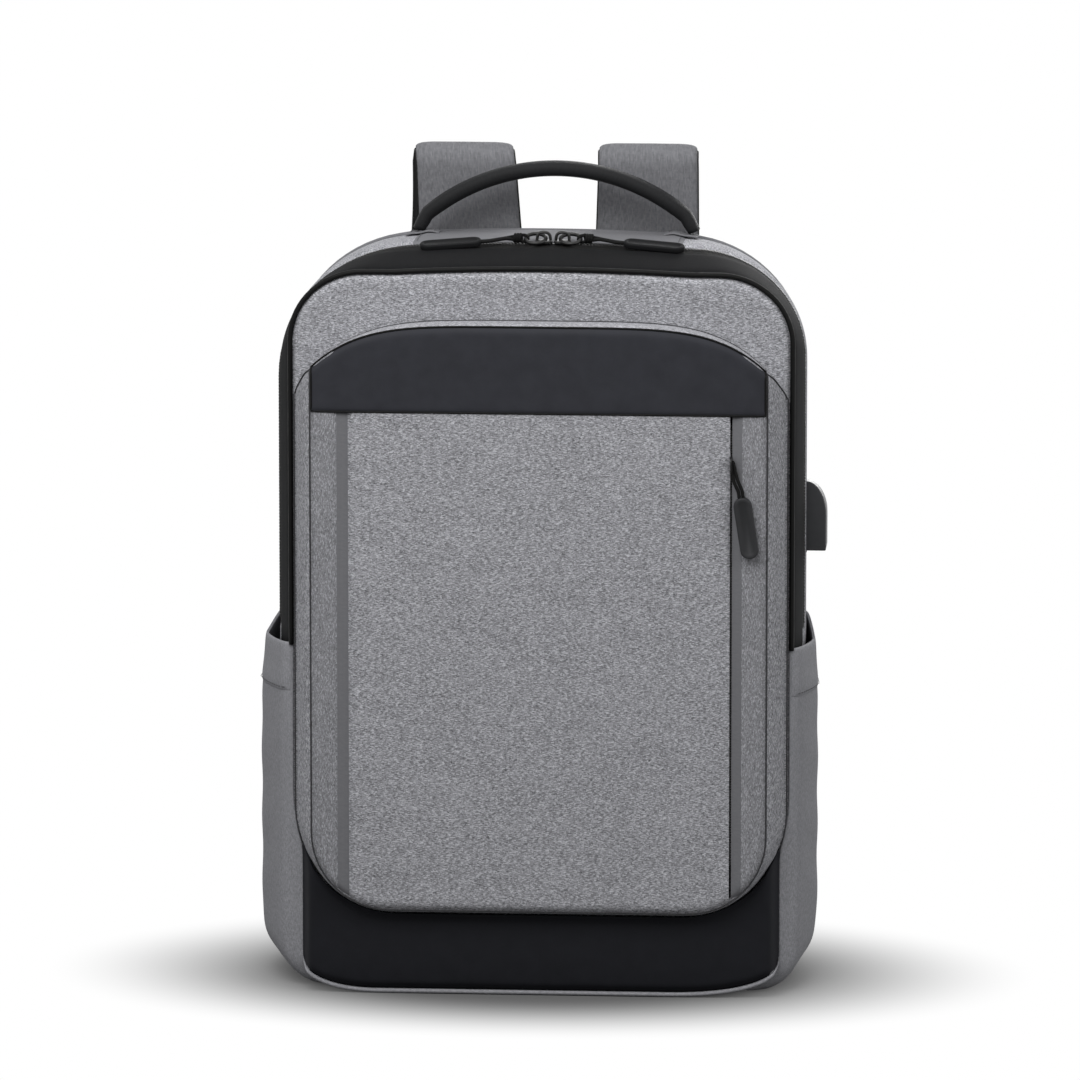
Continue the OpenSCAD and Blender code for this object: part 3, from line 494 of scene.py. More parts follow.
THREAD = {
    "grey": weave_finish("Grey thread", 92, threads=2500.0),
    "black": weave_finish("Black thread", 22, threads=2500.0),
    # The seam thread is dark grey as painted shade: it stands for the shadow in the pocket's seams.
    "seam": weave_finish("Seam thread darkened as painted shade", 58, threads=2500.0),
}
print(len(FINISH), "finishes and", len(THREAD), "threads")

# %% [markdown]
# ## Mesh helpers
# Cloth panels are lofts: rows of points that are joined into a grid of quads. The grid's UV map holds
# lengths in metres, so a weave keeps its scale, and it can be laid along either direction.

# %% Mesh helpers
def select_only(obj):
    bpy.ops.object.select_all(action="DESELECT")
    obj.select_set(True)
    bpy.context.view_layer.objects.active = obj


def apply_modifiers(obj):
    select_only(obj)
    for modifier in list(obj.modifiers):
        bpy.ops.object.modifier_apply(modifier=modifier.name)
    return obj


def smooth_faces(mesh):
    mesh.polygons.foreach_set("use_smooth", np.ones(len(mesh.polygons), bool))


def link_mesh(name, verts, faces, uvs):
    mesh = bpy.data.meshes.new(name)
    mesh.from_pydata([tuple(v) for v in verts], [], faces)
    layer = mesh.uv_layers.new(name="Cloth")
    layer.data.foreach_set("uv", np.asarray(uvs, np.float32).ravel())
    smooth_faces(mesh)
    obj = bpy.data.objects.new(name, mesh)
    bpy.context.scene.collection.objects.link(obj)
    return obj


def running_length(points, axis):
    steps = np.linalg.norm(np.diff(points, axis=axis), axis=2).mean(axis=1 - axis)
    return np.concatenate(([0], np.cumsum(steps)))


GRAIN_AXES = {"x": (0, 2), "y": (1, 0), "z": (2, 0)}


def loft(name, rows, grain="columns", closed=False, ring=False, away=None, toward=None, capped=False):
    """A grid of quads through rows of points in mm. closed joins the last column to the first, and ring
    the last row to the first. The outer face looks away from a point (None leaves a coordinate out) or
    toward a direction. grain says which way the cloth's first thread runs: along the rows or columns,
    or along an axis. capped closes the last row with one face."""
    points = np.asarray(rows, float)
    count, width = points.shape[:2]
    padded = np.concatenate((points, points[:, :1]), axis=1) if closed else points
    padded = np.concatenate((padded, padded[:1]), axis=0) if ring else padded
    normal = np.cross(padded[:-1, 1:] - padded[:-1, :-1], padded[1:, :-1] - padded[:-1, :-1])
    centre = (padded[:-1, :-1] + padded[1:, 1:]) / 2
    looks = np.asarray(toward)
    if away is not None:
        left_out = [a is None for a in away]
        looks = centre - np.where(left_out, centre, [a or 0 for a in away])
    right_way = (normal * looks).sum() > 0
    if grain in ("columns", "rows"):
        u, v = np.meshgrid(running_length(padded, 1), running_length(padded, 0))
        u, v = (u, v) if grain == "columns" else (v, u)
    else:
        u, v = (padded[..., axis] for axis in GRAIN_AXES[grain])
    faces, uvs = [], []
    for i in range(padded.shape[0] - 1):
        for j in range(padded.shape[1] - 1):
            corners = [(i, j), (i, j + 1), (i + 1, j + 1), (i + 1, j)]
            corners = corners if right_way else corners[::-1]
            faces.append([(a % count) * width + b % width for a, b in corners])
            uvs += [(u[c] * MM, v[c] * MM) for c in corners]
    if capped:
        cap = [((count - 1) * width + j, (count - 1, j)) for j in range(width)]
        cap = cap if right_way else cap[::-1]
        faces.append([k for k, _ in cap])
        uvs += [(u[c] * MM, v[c] * MM) for _, c in cap]
    return link_mesh(name, points.reshape(-1, 3) * MM, faces, uvs)


def soften(obj):
    soft = obj.modifiers.new("Soft edges", "SUBSURF")
    soft.levels = 1
    soft.render_levels = 1


def thicken(obj, thickness, soft=True, lined=False):
    """Gives a sheet its thickness on the inner side, a lining there, and round edges."""
    solid = obj.modifiers.new("Thickness", "SOLIDIFY")
    solid.thickness = thickness * MM
    solid.offset = -1
    if lined:
        obj.data.materials.append(FINISH["lining"])
        solid.material_offset = 1
    if soft:
        soften(obj)
    return apply_modifiers(obj)


def dress(obj, slot, finish=None):
    """Gives a piece its finish: the one given, or else the slot's."""
    material = finish or FINISH[slot]
    if obj.data.materials:
        obj.data.materials[0] = material
    else:
        obj.data.materials.append(material)
    return obj


def sew(obj, body, *nodes):
    """A piece rides on a body and stands for the CAD nodes that it covers."""
    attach(obj, body)
    if nodes:
        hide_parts(*nodes)
    return obj


def box_mm(node):
    low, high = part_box(node)
    return np.array(low) / MM, np.array(high) / MM


def spread(a, b, n):
    """n steps from a to b, closer together at both ends, where cloth rolls into its seams."""
    return a + (b - a) * (1 - np.cos(np.linspace(0, math.pi, n + 1))) / 2


def near(distance, reach):
    """1 at an edge, falling to 0 away from it."""
    return np.exp(-(np.asarray(distance, float) / reach) ** 2)


def ease(t):
    """0 to 1 with a soft start and a soft end."""
    return t * t * (3 - 2 * t)


def round_off(past, radius):
    """How far a round corner has drawn back at a distance past its start."""
    reach = np.clip(past, 0, radius)
    return radius - np.sqrt(radius**2 - reach**2)


def row_of(x, y, z):
    """A row of points from coordinates of which some may be single numbers."""
    return np.column_stack(np.broadcast_arrays(x, y, z))


def unit(rows):
    return rows / np.linalg.norm(rows, axis=1)[:, None]


def path_steps(path, closed=False):
    """The direction of a path at each of its points."""
    if closed:
        return unit(np.roll(path, -1, axis=0) - np.roll(path, 1, axis=0))
    return unit(np.gradient(path, axis=0))


def path_length(path):
    """The length of a path up to each of its points."""
    return np.concatenate(([0], np.cumsum(np.linalg.norm(np.diff(path, axis=0), axis=1))))


def read_along(values, length, where):
    """Rows of three values, read between the points of a path."""
    return np.column_stack([np.interp(where, length, column) for column in values.T])


# %% [markdown]
# ## The bag's outline
# Every gusset follows one outline that changes with depth: the front panel is the narrowest and has
# the tightest corners, and the zip line is the widest. The sizes come from the frame's own panels.

# %% Outline
front_low, front_high = box_mm("front_panel")
back_high = box_mm("back_panel")[1]
under_low, under_high = box_mm("lower_gusset")
front_tape_low, front_tape_high = box_mm("main_zip_front_tape")
rear_tape_low, rear_tape_high = box_mm("main_zip_rear_tape")
FRONT_Y = front_low[1]
BACK_Y = back_high[1]
ZIP_Y = (front_tape_high[1] + rear_tape_low[1]) / 2
SHELL_Z = front_low[2]
ZIP_END_Z = rear_tape_low[2]
DEPTHS = (FRONT_Y, ZIP_Y, BACK_Y)
CORNER_RADII = {1: (42, 66, 72), -1: (42, 80, 76)}
BAG_AXIS = (0, None, 220)
SEAM_REACH = 2.4
LOW_RADIUS = 36
TOP_CROWN = 2.5
TOP_FLAT = 86
SWAY = (0, -2.7, -4.0)
REAR_DROP = 2.0
SIDES = ((-1, "left"), (1, "right"))


def half_width(y):
    return np.interp(y, DEPTHS, (front_high[0], under_high[0], back_high[0]))


def top_height(y):
    return np.interp(y, DEPTHS, (front_high[2], rear_tape_high[2], back_high[2] - REAR_DROP))


def top_radius(y, side):
    return np.interp(y, DEPTHS, CORNER_RADII[side])


def sway(y):
    """The bag stands a little askew: the further back, the further left."""
    return np.interp(y, DEPTHS, SWAY)


def straight(a, b, n):
    a, b = np.array(a, float), np.array(b, float)
    return [a + (b - a) * k / n for k in range(n)]


def bend(cx, cz, r, a0, a1, n):
    angles = np.radians(np.linspace(a0, a1, n, endpoint=False))
    return [np.array((cx + r * math.cos(a), cz + r * math.sin(a))) for a in angles]


def crown(x):
    """How far the bag's top falls towards its sides."""
    return TOP_CROWN * np.clip(np.abs(x) / TOP_FLAT, 0, 1) ** 2


def over_outline(y, end_z=ZIP_END_Z):
    """Over the bag, from the right side's zip end to the left side's."""
    hw, top = half_width(y), top_height(y)
    right, left = top_radius(y, 1), top_radius(y, -1)
    points = straight((hw, end_z), (hw, top - right), 18)
    points += bend(hw - right, top - right, right, 0, 90, 18)
    points += straight((hw - right, top), (left - hw, top), 24)
    points += bend(left - hw, top - left, left, 90, 180, 18)
    points += straight((-hw, top - left), (-hw, end_z), 18)
    points = np.array(points + [np.array((-hw, end_z))])
    x, z = points.T
    r = np.where(x > 0, right, left)
    rise = np.clip((z - (top - r)) / r, 0, 1)
    return np.column_stack((x + sway(y), z - crown(x) * rise))


def under_outline(y, end_z=ZIP_END_Z):
    """Under the bag, from the left side's zip end to the right side's."""
    hw, r = half_width(y), LOW_RADIUS
    points = straight((-hw, end_z), (-hw, SHELL_Z + r), 14)
    points += bend(r - hw, SHELL_Z + r, r, 180, 270, 10)
    points += straight((r - hw, SHELL_Z), (hw - r, SHELL_Z), 22)
    points += bend(hw - r, SHELL_Z + r, r, 270, 360, 10)
    points += straight((hw, SHELL_Z + r), (hw, end_z), 14)
    return np.array(points + [np.array((hw, end_z))]) + (sway(y), 0)


def ring_outline(y):
    return np.concatenate((over_outline(y)[:-1], under_outline(y)[:-1]))


def outward(path, closed=False):
    """Normals of a path that runs anticlockwise, seen from the front."""
    step = path_steps(path, closed)
    return np.column_stack((step[:, 1], -step[:, 0]))


def at_depth(path, y):
    return row_of(path[:, 0], y, path[:, 1])


def pillow(t, width, bulge, tuck):
    """How far a strip of cloth stands out between its two seams, at shares of its width."""
    to_seam = np.minimum(t, 1 - t) * width
    return bulge * (1 - (2 * t - 1) ** 4) - tuck * near(to_seam, SEAM_REACH)


def wrap(name, outline, y0, y1, bulge, tuck, closed=False, grain="columns", steps=14, flat_below=None):
    """A gusset: the outline's strip between two depths, bulging between its seams. With flat_below it
    lies flat up to the first height and bulges in full from the second."""
    rows = []
    for t in spread(0, 1, steps):
        y = y0 + (y1 - y0) * t
        path = outline(y)
        lift = pillow(t, y1 - y0, bulge, tuck)
        if flat_below:
            lift = lift * np.clip((path[:, 1] - flat_below[0]) / (flat_below[1] - flat_below[0]), 0, 1)
        rows.append(at_depth(path + outward(path, closed) * np.reshape(lift, (-1, 1)), y))
    return loft(name, rows, grain, closed=closed, away=BAG_AXIS)


print("Shell", round(2 * half_width(ZIP_Y)), "by", round(top_height(ZIP_Y)), "mm")

# %% [markdown]
# ## Stitches and teeth
# Thread shows as a row of short, sunken ovals. One stitch is modelled as a few faces, and a row of
# copies follows a seam. Zip teeth are copied along their tape in the same way.

# %% Repeated little shapes
STITCH_RINGS = (
    (-0.5, 0.25, -0.4), (-0.3, 0.9, 0.45), (0.0, 1.0, 0.6), (0.3, 0.9, 0.45), (0.5, 0.25, -0.4)
)
STITCH_FLATNESS = 0.7
STITCH_LENGTH = 2.7
STITCH_PITCH = 4.0


def stitch_shape(length, radius, sides=6):
    """One stitch through rings, each with its place along it, its size and its height."""
    verts = []
    for along, size, lift in STITCH_RINGS:
        for k in range(sides):
            a = 2 * math.pi * k / sides
            height = lift + size * math.sin(a) * STITCH_FLATNESS
            verts.append((along * length, radius * size * math.cos(a), radius * height))
    rings = len(STITCH_RINGS)
    faces = [
        (i * sides + k, i * sides + (k + 1) % sides, (i + 1) * sides + (k + 1) % sides, (i + 1) * sides + k)
        for i in range(rings - 1) for k in range(sides)
    ]
    faces += [tuple(range(sides))[::-1], tuple(range((rings - 1) * sides, rings * sides))]
    return np.array(verts), [f[::-1] for f in faces]


def tooth_shape(length, width, height):
    """A zip tooth: a block whose upper edges are drawn in."""
    verts = []
    for along, across, up in ((1, 1, -1), (1, 1, 0.2), (0.5, 0.8, 1)):
        x, y, z = along * length / 2, across * width / 2, up * height / 2
        verts += [(-x, -y, z), (x, -y, z), (x, y, z), (-x, y, z)]
    faces = [(3, 2, 1, 0), (8, 9, 10, 11)]
    for base in (0, 4):
        faces += [(base + k, base + (k + 1) % 4, base + 4 + (k + 1) % 4, base + 4 + k) for k in range(4)]
    return np.array(verts), faces


def along_path(path, pitch, margin=0.0):
    """Places and directions of equal steps along a path, how far along they are, and the path's length."""
    path = np.asarray(path, float)
    length = path_length(path)
    count = max(1, int((length[-1] - 2 * margin) / pitch))
    where = margin + (length[-1] - 2 * margin - count * pitch) / 2 + pitch * (np.arange(count) + 0.5)
    step = read_along(path, length, where + 0.5) - read_along(path, length, where - 0.5)
    return read_along(path, length, where), unit(step), where, length


def repeat(name, shape, places, directions, ups):
    """Copies of one small shape, each turned along its direction with its top along up."""
    verts, faces = shape
    ups = np.broadcast_to(np.asarray(ups, float), places.shape)
    side = unit(np.cross(ups, directions))
    top = np.cross(directions, side)
    turned = (
        places[:, None, :]
        + verts[None, :, 0:1] * directions[:, None, :]
        + verts[None, :, 1:2] * side[:, None, :]
        + verts[None, :, 2:3] * top[:, None, :]
    )
    all_faces = [[k * len(verts) + v for v in face] for k in range(len(places)) for face in faces]
    uvs = np.tile(verts[[v for face in faces for v in face]][:, :2] * MM, (len(places), 1))
    return link_mesh(name, turned.reshape(-1, 3) * MM, all_faces, uvs)


def stitch_row(name, path, up, thread, radius=0.3, margin=0.0):
    place, direction, _, _ = along_path(path, STITCH_PITCH, margin)
    obj = repeat(name, stitch_shape(STITCH_LENGTH, radius), place, direction, up)
    obj.data.materials.append(THREAD[thread])
    return obj


def tube(name, path, radius, sides=12, closed=False, squash=1.0, up=(0, 0, 1)):
    """A round cord or welt along a path. radius may change along it, and squash makes it flat or tall."""
    path = np.asarray(path, float)
    step = path_steps(path, closed)
    side = unit(np.cross(step, np.asarray(up, float)))
    top = np.cross(side, step)
    radius = np.broadcast_to(np.asarray(radius, float), (len(path),))
    a = np.linspace(0, 2 * math.pi, sides, endpoint=False)[:, None]
    rows = [
        p + r * np.cos(a) * s + r * squash * np.sin(a) * t for p, s, t, r in zip(path, side, top, radius)
    ]
    return close_ends(loft(name, rows, "rows", closed=True, ring=closed, toward=(1, 0, 0)))


def close_ends(obj):
    """Fills a tube's open ends, where it has any, and turns its faces outwards."""
    mesh = bmesh.new()
    mesh.from_mesh(obj.data)
    bmesh.ops.holes_fill(mesh, edges=[e for e in mesh.edges if e.is_boundary])
    bmesh.ops.recalc_face_normals(mesh, faces=mesh.faces)
    mesh.to_mesh(obj.data)
    mesh.free()
    smooth_faces(obj.data)
    return obj


# %% [markdown]
# ## Front panel and its piping
# The front panel is one padded sheet. It is built as rings that step in from its outline: the first
# rings roll back into the seam, and the rest lie flat, because the pocket covers the middle. The
# piping is a welt sewn into that seam, and it runs out of sight under the side pockets.

# %% Front panel
PANEL_T = front_high[1] - front_low[1]
PANEL_INSETS = (0, 0.4, 0.8, 1.3, 1.9, 2.6, 3.4, 4.4, 6, 9, 14, 22, 31)
PANEL_ROLL = 3.2
ROLL_REACH = 2.2


def padded_panel(name, y, direction, slot):
    path = ring_outline(y)
    normals = outward(path, closed=True)
    rolled = y - direction * PANEL_ROLL * near(PANEL_INSETS, ROLL_REACH)
    rows = [at_depth(path - normals * inset, depth) for inset, depth in zip(PANEL_INSETS, rolled)]
    panel = dress(loft(name, rows, "x", closed=True, toward=(0, direction, 0), capped=True), slot)
    return thicken(panel, PANEL_T - 1, soft=False, lined=True)


front_panel = padded_panel("front_panel_cloth", FRONT_Y, -1, "melange_cloth")
sew(front_panel, "front_half", "front_panel")

PIPING_R = 1.5
PIPING_PROUD = 0.9
PIPING_END_Z = 204
piping_path = over_outline(FRONT_Y, PIPING_END_Z)
piping_path = at_depth(piping_path + outward(piping_path) * PIPING_PROUD, FRONT_Y + PANEL_T / 2)
piping = dress(tube("front_piping_welt", piping_path, PIPING_R, up=(0, 1, 0)), "piping")
sew(piping, "front_half", "front_piping")
print("Front panel of", len(front_panel.data.polygons), "faces")

# %% [markdown]
# ## Zip gusset, tapes and teeth
# The black gusset bows out between the piping and the zip. Behind it run two tapes, each with a row
# of teeth along its inner edge. The front tape belongs to the front half, so the zip parts with it.
# A black flap lies behind the teeth and keeps the light out; its black is painted shade, standing for the
# dark inside of the bag.

# %% Main zip
BAND_END_Z = 195
ZIP_GUSSET_T = 2.6
gusset_low, gusset_high = box_mm("zip_gusset")
zip_gusset = wrap(
    "zip_gusset_cloth", lambda y: over_outline(y, BAND_END_Z), gusset_low[1] - 0.6, gusset_high[1] + 0.3,
    bulge=1.3, tuck=1.2,
)
thicken(dress(zip_gusset, "black_cloth"), ZIP_GUSSET_T, lined=True)
sew(zip_gusset, "front_half", "zip_gusset")

TAPE_T = 0.8
TAPE_SINK = 0.6
FLAP_SINK = 6.6
TOOTH_SINK = 0.9
TOOTH_PITCH = 1.9
TOOTH_MARGIN = {-1: 3 + TOOTH_PITCH / 2, 1: 3}
TOOTH = tooth_shape(1.25, 2.5, 1.5)


def sunk_band(name, y0, y1, count, sink, finish=None):
    """A strip of tape over the bag that lies a little under its outline."""
    rows = []
    for y in np.linspace(y0, y1, count):
        path = over_outline(y, BAND_END_Z)
        rows.append(at_depth(path - outward(path) * sink, y))
    return thicken(dress(loft(name, rows, away=BAG_AXIS), "zip_tape", finish), TAPE_T, soft=False)


def zip_half(side, body, y_edge, y_out, node):
    """One tape with its teeth. side is -1 for the front half and 1 for the rear half."""
    sew(sunk_band(node + "_cloth", y_edge, y_out, 5, TAPE_SINK), body, node)
    tooth_y = y_edge - side * 0.5
    path = over_outline(tooth_y, ZIP_END_Z - 4)
    normals = at_depth(outward(path), 0)
    line = at_depth(path, tooth_y) - normals * TOOTH_SINK
    place, direction, where, length = along_path(line, TOOTH_PITCH, TOOTH_MARGIN[side])
    teeth = repeat(node + "_teeth", TOOTH, place, direction, read_along(normals, length, where))
    sew(dress(teeth, "zip_tape", FINISH["zip_teeth"]), body)
    return len(place)


tooth_count = zip_half(-1, "front_half", front_tape_high[1], front_tape_low[1] - 1.5, "main_zip_front_tape")
tooth_count += zip_half(1, "bag", rear_tape_low[1], rear_tape_high[1] + 1.5, "main_zip_rear_tape")
# The flap's black is painted shade behind the zip's teeth.
flap = sunk_band("main_zip_shade_flap", ZIP_Y - 5, rear_tape_high[1] + 1, 6, FLAP_SINK, FINISH["black_cloth"])
sew(flap, "bag")
print(tooth_count, "zip teeth")

# %% [markdown]
# ## Rear gusset, lower gusset and yoke
# Behind the zip the bag is a closed grey ring, with a smooth yoke sewn on top of it between the
# handle's ends. Under the side pockets a lower gusset joins the two halves. On the bag it bends when
# the front half opens; here it is one fixed piece, attached to neither half.

# %% Gussets
WALL = 3
rear_low, rear_high = box_mm("rear_gusset")
REAR_Y0 = rear_low[1] - 0.3
REAR_Y1 = rear_high[1] + 0.6
REAR_BULGE = 1.6
REAR_TUCK = 1.3
REAR_FLAT_BELOW = (40, 120)
rear_gusset = wrap(
    "rear_gusset_cloth", ring_outline, REAR_Y0, REAR_Y1, REAR_BULGE, REAR_TUCK,
    closed=True, grain="rows", flat_below=REAR_FLAT_BELOW,
)
thicken(dress(rear_gusset, "melange_cloth"), WALL, lined=True)
sew(rear_gusset, "bag", "rear_gusset")

lower_gusset = wrap(
    "lower_gusset_cloth", under_outline, under_low[1], under_high[1],
    bulge=0, tuck=0.4, grain="rows", steps=10,
)
thicken(dress(lower_gusset, "melange_cloth"), WALL, lined=True)
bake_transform(lower_gusset)
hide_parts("lower_gusset")
print("Rear gusset", round(REAR_Y1 - REAR_Y0), "mm deep")

# %% Yoke
yoke_low, yoke_high = box_mm("top_yoke")
YOKE_HALF = yoke_high[0]
YOKE_LIFT = 0.5
YOKE_T = 1.0
YOKE_STITCH_INSET = 2.6


def rear_top(x, y):
    """Height of the rear gusset's top face."""
    t = np.clip((y - REAR_Y0) / (REAR_Y1 - REAR_Y0), 0, 1)
    return top_height(y) + pillow(t, REAR_Y1 - REAR_Y0, REAR_BULGE, REAR_TUCK) - crown(x)


def yoke_height(x, y):
    """Height of the yoke, which is puckered a little along the handle's tabs."""
    edge = np.minimum(YOKE_HALF - np.abs(x), 20)
    pull = 0.7 * near(np.abs(x) - YOKE_HALF + 7, 2.2) * np.clip((y - yoke_low[1]) / 40, 0, 1)
    return rear_top(x, y) + YOKE_LIFT + 0.5 * (1 - near(edge, 4)) - 0.5 * near(edge, 1.2) + pull


yoke_rows = []
for y in spread(yoke_low[1] + 0.2, yoke_high[1] - 0.2, 14):
    xs = spread(-YOKE_HALF, YOKE_HALF, 48)
    yoke_rows.append(row_of(xs, y, yoke_height(xs, y)))
yoke = thicken(dress(loft("top_yoke_cloth", yoke_rows, "y", toward=(0, 0, 1)), "yoke_cloth"), YOKE_T)
sew(yoke, "bag", "top_yoke")
for side, label in SIDES:
    ys = np.linspace(yoke_low[1] + 2, yoke_high[1] - 2, 30)
    x = side * (YOKE_HALF - YOKE_STITCH_INSET)
    row = row_of(x, ys, yoke_height(x, ys) + 0.05)
    sew(stitch_row(f"yoke_stitches_{label}", row, (0, 0, 1), "grey"), "bag")
print("Yoke", round(2 * YOKE_HALF), "mm wide")

# %% [markdown]
# ## Front pocket
# The pocket stands out on an arched gusset that draws in towards its front seam. Its front is made of
# three grey panels: the central one, with its flecks lying across, is folded over the zip on its right
# and sewn into a pleat on its left. A coated trim closes the top.

# %% Pocket outline
pocket_low, pocket_high = box_mm("pocket_gusset")
face_low, face_high = box_mm("pocket_panel")
strip_high = box_mm("pocket_side_right")[1]
ROOT_Y = pocket_high[1]
RIM_Y = pocket_low[1]
FACE_Y = face_low[1]
ARCH_POWER = 5
ARCH_POINTS = 65
ROOT = {"half": pocket_high[0], "low": pocket_low[2], "top": 396.5, "fall": 44, "radius": 60}
RIM = {"half": strip_high[0], "low": face_low[2], "top": 397, "fall": 26, "radius": 46}


def arch_z(shape, x):
    return shape["top"] - shape["fall"] * np.clip(np.abs(x) / shape["half"], 0, 1) ** ARCH_POWER


def hollow_z(shape, x):
    """Height of the pocket's lower outline."""
    return shape["low"] + round_off(np.abs(x) - (shape["half"] - shape["radius"]), shape["radius"])


def pocket_outline(shape):
    """The pocket's outline from its right shoulder, over the arch and round below."""
    hw, r, low = shape["half"], shape["radius"], shape["low"]
    u = np.cos(np.linspace(0, math.pi, ARCH_POINTS))
    arch = np.column_stack((hw * u, arch_z(shape, hw * u)))
    side_z = arch[-1, 1]
    points = straight((-hw, side_z), (-hw, low + r), 20)[1:]
    points += bend(r - hw, low + r, r, 180, 270, 14)
    points += straight((r - hw, low), (hw - r, low), 20)
    points += bend(hw - r, low + r, r, 270, 360, 14)
    points += straight((hw, low + r), (hw, side_z), 20)
    return np.concatenate((arch, np.array(points)))


# %% Pocket gusset
POCKET_GUSSET_T = 2.2
root_path, rim_path = pocket_outline(ROOT), pocket_outline(RIM)
pocket_rows = []
for t in spread(0, 1, 12):
    path = root_path + (rim_path - root_path) * t
    lift = pillow(t, ROOT_Y - RIM_Y, bulge=1.1, tuck=1.0)
    pocket_rows.append(at_depth(path + outward(path, closed=True) * lift, ROOT_Y + (RIM_Y - ROOT_Y) * t))
pocket_gusset = loft("pocket_gusset_cloth", pocket_rows, closed=True, away=BAG_AXIS)
thicken(dress(pocket_gusset, "melange_cloth"), POCKET_GUSSET_T, lined=True)
sew(pocket_gusset, "front_half", "pocket_gusset")

# The pocket's seams are tubes of dark seam thread: real seams, darkened as painted shade for the shadow in
# their grooves.
SEAM_R = 0.45
root_seam = at_depth(root_path + outward(root_path, closed=True) * 0.5, ROOT_Y - 1.0)
rim_seam = at_depth(rim_path - outward(rim_path, closed=True) * 0.5, RIM_Y - 0.5)
POCKET_SEAMS = (
    ("root", root_seam, True, (0, 1, 0)),
    ("rim", rim_seam, True, (0, 1, 0)),
    ("right", [row[0] for row in pocket_rows], False, (0, 0, 1)),
    ("left", [row[ARCH_POINTS - 1] for row in pocket_rows], False, (0, 0, 1)),
)
for label, path, closed, up in POCKET_SEAMS:
    seam = tube(f"pocket_seam_shade_{label}", path, SEAM_R, 8, closed=closed, up=up)
    sew(dress(seam, "melange_cloth", THREAD["seam"]), "front_half")
print("Pocket", round(ROOT_Y - RIM_Y), "mm deep")

# %% Pocket panels
SEAM_ROLL = 2.6
FACE_T = 1.6
FOLD_T = 0.7
PLEAT_X = -116.8
GUARD_X = 117.2
CENTRE_X0, CENTRE_X1 = face_low[0], face_high[0] + 0.8
SLIT_X = CENTRE_X1 + 0.9
TRIM_Z = box_mm("upper_trim")[0][2] + 1.7


def pocket_sheet(name, x0, x1, low, high, depth, grain, columns, rows):
    """A panel of the pocket's front. low and high give its edges, and depth its surface."""
    xs = spread(x0, x1, columns)
    grid = []
    for t in spread(0, 1, rows):
        zs = low(xs) + (high(xs) - low(xs)) * t
        grid.append(row_of(xs, depth(xs, zs), zs))
    return loft(name, grid, grain, toward=(0, -1, 0))


def rim_roll(x, z):
    """How far the pocket's front rolls back where it meets the front seam."""
    over = np.clip(np.abs(x) - (RIM["half"] - RIM["radius"]), 0, None)
    under = np.clip(RIM["low"] + RIM["radius"] - z, 0, None)
    return SEAM_ROLL * near(RIM["radius"] - np.hypot(over, under), ROLL_REACH)


def centre_depth(x, z):
    left = 1.6 * near(x - CENTRE_X0, 1.6)
    right = 0.8 * near(CENTRE_X1 - x, 0.7)
    return FACE_Y + 0.25 + left + right + rim_roll(x, z)


def left_depth(x, z):
    return FACE_Y + 0.5 + 1.0 * near(x - PLEAT_X, 1.2) + rim_roll(x, z)


def pleat_depth(x, z):
    """The plain fold between the left strip and the central panel lies deeper than both."""
    return FACE_Y + 1.5 + 0.4 * near(x - CENTRE_X0, 2) + rim_roll(x, z)


def right_depth(x, z):
    return FACE_Y + 0.5 + 0.5 * near(x - GUARD_X, 1.5) + rim_roll(x, z)


def guard_depth(x, z):
    """The plain guard beside the zip rises from the slit to the right strip."""
    rise = 1.1 * np.clip((x - SLIT_X) / (GUARD_X - SLIT_X), 0, 1) ** 1.5
    return FACE_Y + 1.9 - rise + rim_roll(x, z)


def behind_trim(x):
    return arch_z(RIM, x) - 0.4


def rim_hollow(x):
    return hollow_z(RIM, x)


def to_trim(x):
    return np.full_like(np.asarray(x, float), TRIM_Z + 3)


PANELS = (
    ("pocket_panel", CENTRE_X0, CENTRE_X1, to_trim, centre_depth, "x", 40, 50, "melange_cloth"),
    ("pocket_side_left", -RIM["half"], PLEAT_X, behind_trim, left_depth, "z", 16, 60, "strip_cloth"),
    ("pocket_side_right", GUARD_X, RIM["half"], behind_trim, right_depth, "z", 16, 60, "strip_cloth"),
    ("pocket_pleat", PLEAT_X - 1, CENTRE_X0 + 0.6, to_trim, pleat_depth, "z", 10, 50, "yoke_cloth"),
    ("pocket_zip_guard", SLIT_X, GUARD_X + 0.8, to_trim, guard_depth, "z", 10, 50, "yoke_cloth"),
)
for node, x0, x1, high, depth, grain, columns, rows, finish in PANELS:
    panel = pocket_sheet(node + "_cloth", x0, x1, rim_hollow, high, depth, grain, columns, rows)
    in_frame = node in frame["nodes"]
    thicken(dress(panel, "melange_cloth", FINISH[finish]), FACE_T if in_frame else FOLD_T, lined=True)
    sew(panel, "front_half", *([node] if in_frame else []))
print("Front of", len(PANELS), "panels")

# %% Upper trim
TRIM_HALF = 131.4
TRIM_PROUD = 0.5
TRIM_T = 1.4
TRIM_EDGE_R = 0.65


def trim_depth(x, z):
    side_roll = 0.8 * near(TRIM_HALF - np.abs(x), 1.0)
    low_roll = 0.8 * near(z - TRIM_Z, 1.0)
    arch_roll = 1.6 * near(arch_z(RIM, x) - z, 2.0)
    return FACE_Y - TRIM_PROUD + side_roll + low_roll + arch_roll


